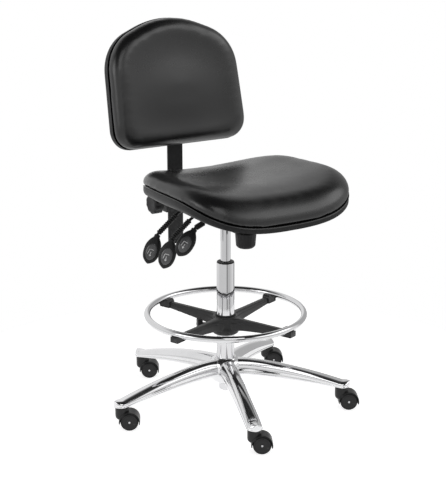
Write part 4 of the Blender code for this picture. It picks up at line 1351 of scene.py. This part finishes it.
@dataclass
class Backrest(Assembly):
    """Moulded back shell and its upholstered cushion."""

    foot: tuple = (0.0, 0.2570, 0.7130)
    recline: float = 12.0
    hollow: float = 0.012
    middle: float = 0.170
    front: float = -0.008
    rear: float = 0.020
    lumbar: float = 0.150
    swell: float = 0.011
    corners: tuple = ((0.2150, 0.0, 0.056), (0.2040, 0.2960, 0.125), (0.0, 0.3800, 0.250))

    def place(self) -> Matrix:
        """The backrest's frame: origin at its foot, leaning back."""
        return placed(self.foot, Matrix.Rotation(-radians(self.recline), 4, "X"))

    def outline(self, steps: int = 16) -> np.ndarray:
        """Outline of straight sides and true arcs: each corner's arc has the corner's radius.

        Args:
            steps: Pieces in each arc.

        Returns:
            Points at even steps round the outline, two numbers a row.
        """
        right = self.corners[:2]
        corners = [*right, self.corners[2], (-right[1][0], *right[1][1:]), (-right[0][0], *right[0][1:])]
        data = np.array(corners)
        spots, radius = data[:, :2], data[:, 2]
        before = np.roll(spots, 1, 0) - spots
        after = np.roll(spots, -1, 0) - spots
        before /= np.linalg.norm(before, axis=1, keepdims=True)
        after /= np.linalg.norm(after, axis=1, keepdims=True)
        half = np.arccos(np.clip((before * after).sum(1), -1, 1)) / 2
        middle = (before + after) / np.linalg.norm(before + after, axis=1, keepdims=True)
        centre = spots + middle * (radius / np.sin(half))[:, None]
        start = spots + before * (radius / np.tan(half))[:, None] - centre
        t = np.linspace(0, 1, steps + 1)[None] * (pi - 2 * half)[:, None]
        x = centre[:, :1] + start[:, :1] * np.cos(t) - start[:, 1:] * np.sin(t)
        y = centre[:, 1:] + start[:, :1] * np.sin(t) + start[:, 1:] * np.cos(t)
        line = np.stack([x, y], -1).reshape(-1, 2)
        return self.spread(line, 200)

    @staticmethod
    def spread(line: np.ndarray, count: int) -> np.ndarray:
        """The same closed line with its points at even steps of its length.

        Args:
            line: Points, two numbers a row.
            count: Points to make.

        Returns:
            Points, two numbers a row.
        """
        closed = np.concatenate([line, line[:1]])
        gone = np.concatenate([[0], np.cumsum(np.linalg.norm(np.diff(closed, axis=0), axis=1))])
        at = np.arange(count) * gone[-1] / count
        return np.stack([np.interp(at, gone, closed[:, 0]), np.interp(at, gone, closed[:, 1])], -1)

    def rings(self, levels: np.ndarray) -> np.ndarray:
        """Rings about the middle, at a depth that comes forward with the square of the width.

        Args:
            levels: A row for each ring: scale of the outline, and depth.

        Returns:
            Points, rings by outline points by three.
        """
        line = self.outline()
        scale, depth = levels[:, :1], levels[:, 1:2]
        across = line[:, 0] * scale
        up = self.middle + (line[:, 1] - self.middle) * scale
        return np.stack([across, depth - self.hollow * (across / 0.21) ** 2, up], -1)

    def build(self) -> None:
        """Shell, cushion and the welt between them."""
        place = self.place()
        rear = self.rear
        outer = filleted([(0.012, rear, 0), (0.40, rear, 0.1), (0.72, rear - 0.001, 0.1),
                          (0.90, rear - 0.0035, 0.05), (0.975, rear - 0.006, 0.02),
                          (1.0, rear - 0.013, 0.006), (1.0, self.front, 0.002), (0.985, self.front, 0.003),
                          (0.978, self.front + 0.003, 0.003), (0.955, self.front + 0.006, 0.02),
                          (0.90, rear - 0.0075, 0.02), (0.70, rear - 0.0040, 0.1), (0.012, rear - 0.0028, 0)],
                         5)
        shell = Shell("back_shell_moulded").add(self.rings(outer), place=place).done()
        self.fit(shell, "backrest", Slot.PLASTIC, "back_shell")
        seat = self.front - 0.0012
        pad = filleted([(0.012, seat, 0), (0.35, seat, 0.1), (0.65, seat, 0.1), (0.93, seat, 0.05),
                        (0.992, seat, 0.01), (1.0, seat - 0.006, 0.005), (1.002, seat - 0.018, 0.012),
                        (0.975, seat - 0.0335, 0.020), (0.915, seat - 0.0435, 0.035),
                        (0.840, seat - 0.0470, 0.05), (0.700, seat - 0.0430, 0.10),
                        (0.50, seat - 0.0410, 0.15), (0.012, seat - 0.0410, 0)], 6)
        grid = self.rings(pad)
        swell = np.exp(-(grid[..., 0] / 0.125) ** 2 - ((grid[..., 2] - self.lumbar) / 0.085) ** 2)
        outside = np.clip((seat - 0.030 - grid[..., 1]) / 0.010, 0, 1)
        grid[..., 1] -= self.swell * swell * outside
        cushion = Shell("back_cushion_upholstered").add(grid, place=place).done()
        lean = radians(self.recline)
        out = np.array([0.0, cos(lean), -sin(lean)])
        level = float(out @ (np.array(self.foot) + np.array(AXIS)))
        Cushion().stuff(cushion, out, np.array([level - 0.040, level + seat - 0.004]))
        self.fit(cushion, "backrest", Slot.VINYL, "back_cushion")
        bead = np.arange(10) * FULL_TURN / 10
        edge = np.stack([0.9965 + 0.0075 * np.cos(bead), seat - 0.0008 + 0.0016 * np.sin(bead)], -1)
        welt = Shell("back_welt").add(self.rings(edge), along=True, caps=False, place=place).done()
        self.fit(welt, "backrest", Slot.VINYL)


# Seat

@dataclass
class Seat(Assembly):
    """Moulded pan and its saddle-shaped upholstered cushion."""

    front: float = -0.314
    rear: float = 0.169
    half: float = 0.245
    seam: float = 0.645
    drop: tuple = (0.034, 0.032)
    rise: float = 0.019
    band: float = 0.029
    floor: float = 0.6038
    edge: float = 0.045
    dish: float = 0.013
    nose: float = 0.012
    points: int = 220

    @property
    def middle(self) -> float:
        """Half way between front and rear."""
        return (self.front + self.rear) / 2

    @property
    def reach(self) -> float:
        """Half of the depth."""
        return (self.rear - self.front) / 2

    def outline(self, scale: np.ndarray) -> tuple[np.ndarray, np.ndarray]:
        """A superellipse, squarer at the front and a little wider there, at each scale.

        Args:
            scale: Sizes, one for each ring.

        Returns:
            The across and the front-to-back places, rings by points.
        """
        turn = (np.arange(self.points) + 0.5) * FULL_TURN / self.points
        ahead, side = np.cos(turn), np.sin(turn)
        power = np.where(ahead > 0, 3.6, 2.9)
        share = np.sign(ahead) * np.abs(ahead) ** (2 / power)
        across = np.sign(side) * np.abs(side) ** (2 / power)
        half = self.half * (1 + 0.06 * share)
        return half * across * scale[:, None], self.middle - self.reach * share * scale[:, None]

    def seam_height(self, x: np.ndarray, y: np.ndarray) -> np.ndarray:
        """Height of the seam: lower by squares to front and rear, higher by a square to the sides.

        Args:
            x: Places across.
            y: Places from front to rear.

        Returns:
            The height at each place.
        """
        share = (self.middle - y) / self.reach
        ahead = np.clip((share - 0.3) / 0.7, 0, None) ** 2
        behind = np.clip((-share - 0.3) / 0.7, 0, None) ** 2
        return self.seam - self.drop[0] * ahead - self.drop[1] * behind + self.rise * (x / self.half) ** 2

    def rings(self, levels: np.ndarray) -> np.ndarray:
        """Rings of the seat.

        Args:
            levels: A row for each ring: scale, share of the seam's height, share of the nose's drop, lift.

        Returns:
            Points at height seam * share + floor * (1 - share) - nose * drop share + lift.
        """
        x, y = self.outline(levels[:, 0])
        share, nose, lift = (levels[:, k][:, None] for k in (1, 2, 3))
        ahead = np.clip((self.middle - y) / self.reach, 0, 1) ** 3
        height = self.seam_height(x, y) * share + self.floor * (1 - share)
        return np.stack([x, y, height - self.nose * ahead * nose + lift], -1)

    def build(self) -> None:
        """Pan, cushion and the welt between them."""
        band = self.band
        pan = np.array([(0.012, 0, 0, 0), (0.30, 0, 0, 0), (0.56, 0, 0, 0), (0.66, 0.22, 0, -band * 0.22),
                        (0.75, 0.55, 0, -band * 0.55), (0.84, 0.85, 0, -band * 0.85), (0.92, 1, 0, -band),
                        (0.955, 1, 0, -band + 0.0015), (0.980, 1, 0.2, -band + 0.0055),
                        (0.993, 1, 0.5, -band + 0.0105), (1.0, 1, 0.9, -band + 0.0160), (1.0, 1, 1, -0.0030),
                        (0.9985, 1, 1, -0.0010), (0.995, 1, 1, -0.0005), (0.990, 1, 1, -0.0010),
                        (0.96, 1, 1, -0.0050), (0.75, 1, 0.3, -0.010), (0.45, 1, 0, -0.012),
                        (0.012, 1, 0, -0.014)])
        shell = Shell("seat_pan_moulded").add(self.rings(pan)).done()
        self.fit(shell, "seat", Slot.PLASTIC, "seat_pan")
        edge, dish = self.edge, self.dish
        rows = [(0.012, 1, 0, -0.0070), (0.45, 1, 0, -0.0060), (0.75, 1, 0.2, -0.0040),
                (0.955, 1, 1, -0.0005), (0.990, 1, 1, 0.0010), (1.002, 1, 1, 0.0040),
                (1.008, 1, 0.95, 0.0110), (1.000, 1, 0.85, 0.0200), (0.975, 1, 0.70, 0.0290),
                (0.930, 1, 0.45, 0.0365), (0.870, 1, 0.2, 0.0410), (0.79, 1, 0, 0.0400),
                (0.64, 1, 0, edge - dish * 0.70), (0.34, 1, 0, edge - dish),
                (0.012, 1, 0, edge - dish * 1.05)]
        cushion = Shell("seat_cushion_upholstered").add(self.rings(smooth_path(rows, 70))).done()
        Cushion().stuff(cushion, np.array([0.0, 0.0, -1.0]), np.array([-0.672, -0.652]))
        self.fit(cushion, "seat", Slot.VINYL, "seat_cushion")
        bead = np.arange(10) * FULL_TURN / 10
        loop = np.stack([0.9965 + 0.0065 * np.cos(bead), 1 + 0 * bead, 1 + 0 * bead,
                         0.0009 + 0.0015 * np.sin(bead)], -1)
        welt = Shell("seat_welt").add(self.rings(loop), along=True, caps=False).done()
        self.fit(welt, "seat", Slot.VINYL)


# Studio

@dataclass
class Studio:
    """Pale floor, soft light and the camera."""

    distance: float = 3.453
    height: float = 1.459
    pitch: float = 15.67
    swing: float = 33.0
    focal: float = 1298.9
    long_side: int = 478
    sensor: float = 36.0
    floor: float = 0.95

    def build(self) -> None:
        """Camera, floor, world and lamps."""
        self.build_camera()
        self.build_floor()
        self.build_world()
        self.build_lamps()
        bpy.context.scene.view_settings.view_transform = "Standard"

    def build_camera(self) -> None:
        """Camera at the chair's front right, a little above the seat's eye line."""
        turn = radians(self.swing)
        camera = bpy.data.objects.new("camera", bpy.data.cameras.new("camera"))
        bpy.context.scene.collection.objects.link(camera)
        camera.location = AXIS + Vector((-self.distance * sin(turn), -self.distance * cos(turn), self.height))
        camera.rotation_euler = (pi / 2 - radians(self.pitch), 0, -turn)
        camera.data.sensor_width = self.sensor
        camera.data.lens = self.focal * self.sensor / self.long_side
        camera.data.shift_x = -2.5 / self.long_side
        camera.data.clip_end = 200
        bpy.context.scene.camera = camera

    def build_floor(self) -> None:
        """A round plain floor, as bright as the backdrop behind it."""
        turn = np.arange(96) * FULL_TURN / 96
        circle = np.stack([np.cos(turn), np.sin(turn), 0 * turn], -1)
        rim = self.floor * circle + np.array([AXIS.x, AXIS.y, 0.0])
        floor = add_mesh("studio_floor", rim, [list(range(96))])
        material = bpy.data.materials.new("pale_floor")
        material.use_nodes = True
        surface = material.node_tree.nodes["Principled BSDF"]
        surface.inputs["Base Color"].default_value = (0.75, 0.75, 0.75, 1)
        surface.inputs["Roughness"].default_value = 0.9
        surface.inputs["Specular IOR Level"].default_value = 0.1
        surface.inputs["Emission Color"].default_value = (1, 1, 1, 1)
        surface.inputs["Emission Strength"].default_value = 0.72
        floor.data.materials.append(material)

    def build_world(self) -> None:
        """Light from a bright back wall, and from a pale front wall under a bright strip and a dark top."""
        world = bpy.data.worlds.new("studio")
        bpy.context.scene.world = world
        world.use_nodes = True
        sheet = Sheet(world.node_tree)
        way = sheet.node("ShaderNodeTexCoord").outputs["Generated"]
        rise = sheet.node("ShaderNodeSeparateXYZ", {0: way}).outputs["Z"]
        level = sheet.node("ShaderNodeVectorMath", {0: way, 1: (1, 1, 0)}, operation="MULTIPLY").outputs[0]
        level = sheet.node("ShaderNodeVectorMath", {0: level}, operation="NORMALIZE").outputs[0]

        def panel(swing: float, full: float, fade: float) -> bpy.types.NodeSocket:
            """Share of a panel: 1 within full degrees of its swing, 0 beyond fade degrees.

            Args:
                swing: Degrees from straight ahead to the middle of the panel.
                full: Half the width that is whole, in degrees.
                fade: Half the width with its soft edges, in degrees.

            Returns:
                The share.
            """
            turn = radians(swing - self.swing)
            towards = sheet.node("ShaderNodeVectorMath", {0: level, 1: (sin(turn), -cos(turn), 0)},
                                 operation="DOT_PRODUCT").outputs["Value"]
            return sheet.span(towards, 0.0, 1.0, cos(radians(fade)), cos(radians(full)))

        def box(swing: float, half: float, low: float, high: float, power: float) -> bpy.types.NodeSocket:
            """A bright box: half its width in degrees, and from low to high degrees above the horizon."""
            edges = ((low - 5, 0.0), (low, power), (high, power), (high + 5, 0.0))
            return sheet.maths("MULTIPLY", self.ramp(sheet, rise, edges), panel(swing, half - 5, half + 5))

        front = self.ramp(sheet, rise, ((-40, 0.85), (-3, 0.75), (2, 0.60), (7, 0.95), (24, 0.95), (32, 0.06),
                                        (89, 0.04)))
        back = self.ramp(sheet, rise, ((-40, 0.9), (0, 0.95), (40, 0.95), (56, 0.15), (89, 0.04)))
        share = panel(0.0, 78.0, 98.0)
        light = sheet.maths("ADD", sheet.maths("MULTIPLY", front, share),
                            sheet.maths("MULTIPLY", back, sheet.maths("SUBTRACT", 1.0, share)))
        for swing, half, low, high, power in ((78.0, 32.0, 26.0, 42.0, 1.9), (-58.0, 14.0, 12.0, 34.0, 1.1)):
            light = sheet.maths("ADD", light, box(swing, half, low, high, power))
        for swing, full, fade, dark in ((21.0, 3.0, 8.0, 0.70), (42.0, 4.0, 30.0, 0.20),
                                        (148.0, 22.0, 34.0, 0.45)):
            kept = sheet.maths("SUBTRACT", 1.0, sheet.maths("MULTIPLY", panel(swing, full, fade), dark))
            light = sheet.maths("MULTIPLY", light, kept)
        ray = sheet.node("ShaderNodeLightPath").outputs["Is Camera Ray"]
        background = world.node_tree.nodes["Background"]
        background.inputs["Color"].default_value = (1, 1, 1, 1)
        world.node_tree.links.new(sheet.maths("MAXIMUM", light, ray), background.inputs["Strength"])

    @staticmethod
    def ramp(sheet: Sheet, rise: bpy.types.NodeSocket, stops: tuple) -> bpy.types.NodeSocket:
        """Brightness by height over the horizon.

        Args:
            sheet: The world's nodes.
            rise: Upward part of the direction, from -1 to 1.
            stops: Degrees above the horizon and the brightness there, lowest first.

        Returns:
            The brightness.
        """
        node = sheet.node("ShaderNodeValToRGB", {0: sheet.span(rise, 0.0, 1.0, -1.0, 1.0)})
        marks = node.color_ramp.elements
        for degrees, value in stops:
            marks.new(0.5 + 0.5 * sin(radians(degrees))).color = (value, value, value, 1.0)
        marks[0].color = (stops[0][1],) * 3 + (1.0,)
        marks[-1].color = (stops[-1][1],) * 3 + (1.0,)
        return node.outputs["Color"]

    def build_lamps(self) -> None:
        """One broad key lamp above the front, and a smaller one from the side."""
        for name, where, power, size in (("key", (-0.9, -2.6, 3.0), 14.0, 1.6),
                                         ("side", (-3.0, 0.2, 1.6), 6.0, 1.2)):
            lamp = bpy.data.lights.new(name, "AREA")
            lamp.energy = power
            lamp.size = size
            thing = bpy.data.objects.new(name, lamp)
            bpy.context.scene.collection.objects.link(thing)
            thing.location = where
            thing.rotation_euler = (Vector((0, 0, 0.7)) - Vector(where)).to_track_quat("-Z", "Y").to_euler()


LEVERS = (
    {"name": "back", "y": 0.070, "inner": -0.030, "rise": 0.0, "neck": -0.174, "rod_fall": 37.5,
     "paddle_fall": 66.0},
    {"name": "height", "y": 0.000, "inner": -0.004, "rise": 0.0131, "neck": -0.169, "rod_fall": 37.5,
     "paddle_fall": 69.0},
    {"name": "tilt", "y": -0.065, "inner": -0.030, "rise": 0.0, "neck": -0.138, "rod_fall": 22.0,
     "paddle_fall": 52.0},
)


def main() -> None:
    """Build the chair from the floor up, then the studio."""
    logging.basicConfig(level=logging.INFO, format="%(message)s")
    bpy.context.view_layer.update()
    palette = Palette()
    Base(palette).build()
    for number in range(1, 6):
        Caster(palette, number).build()
    Column(palette).build()
    Footring(palette).build()
    Control(palette).build()
    for lever in LEVERS:
        Lever(palette, **lever).build()
    Upright(palette).build()
    Backrest(palette).build()
    Seat(palette).build()
    Studio().build()


if __name__ == "__main__":
    main()
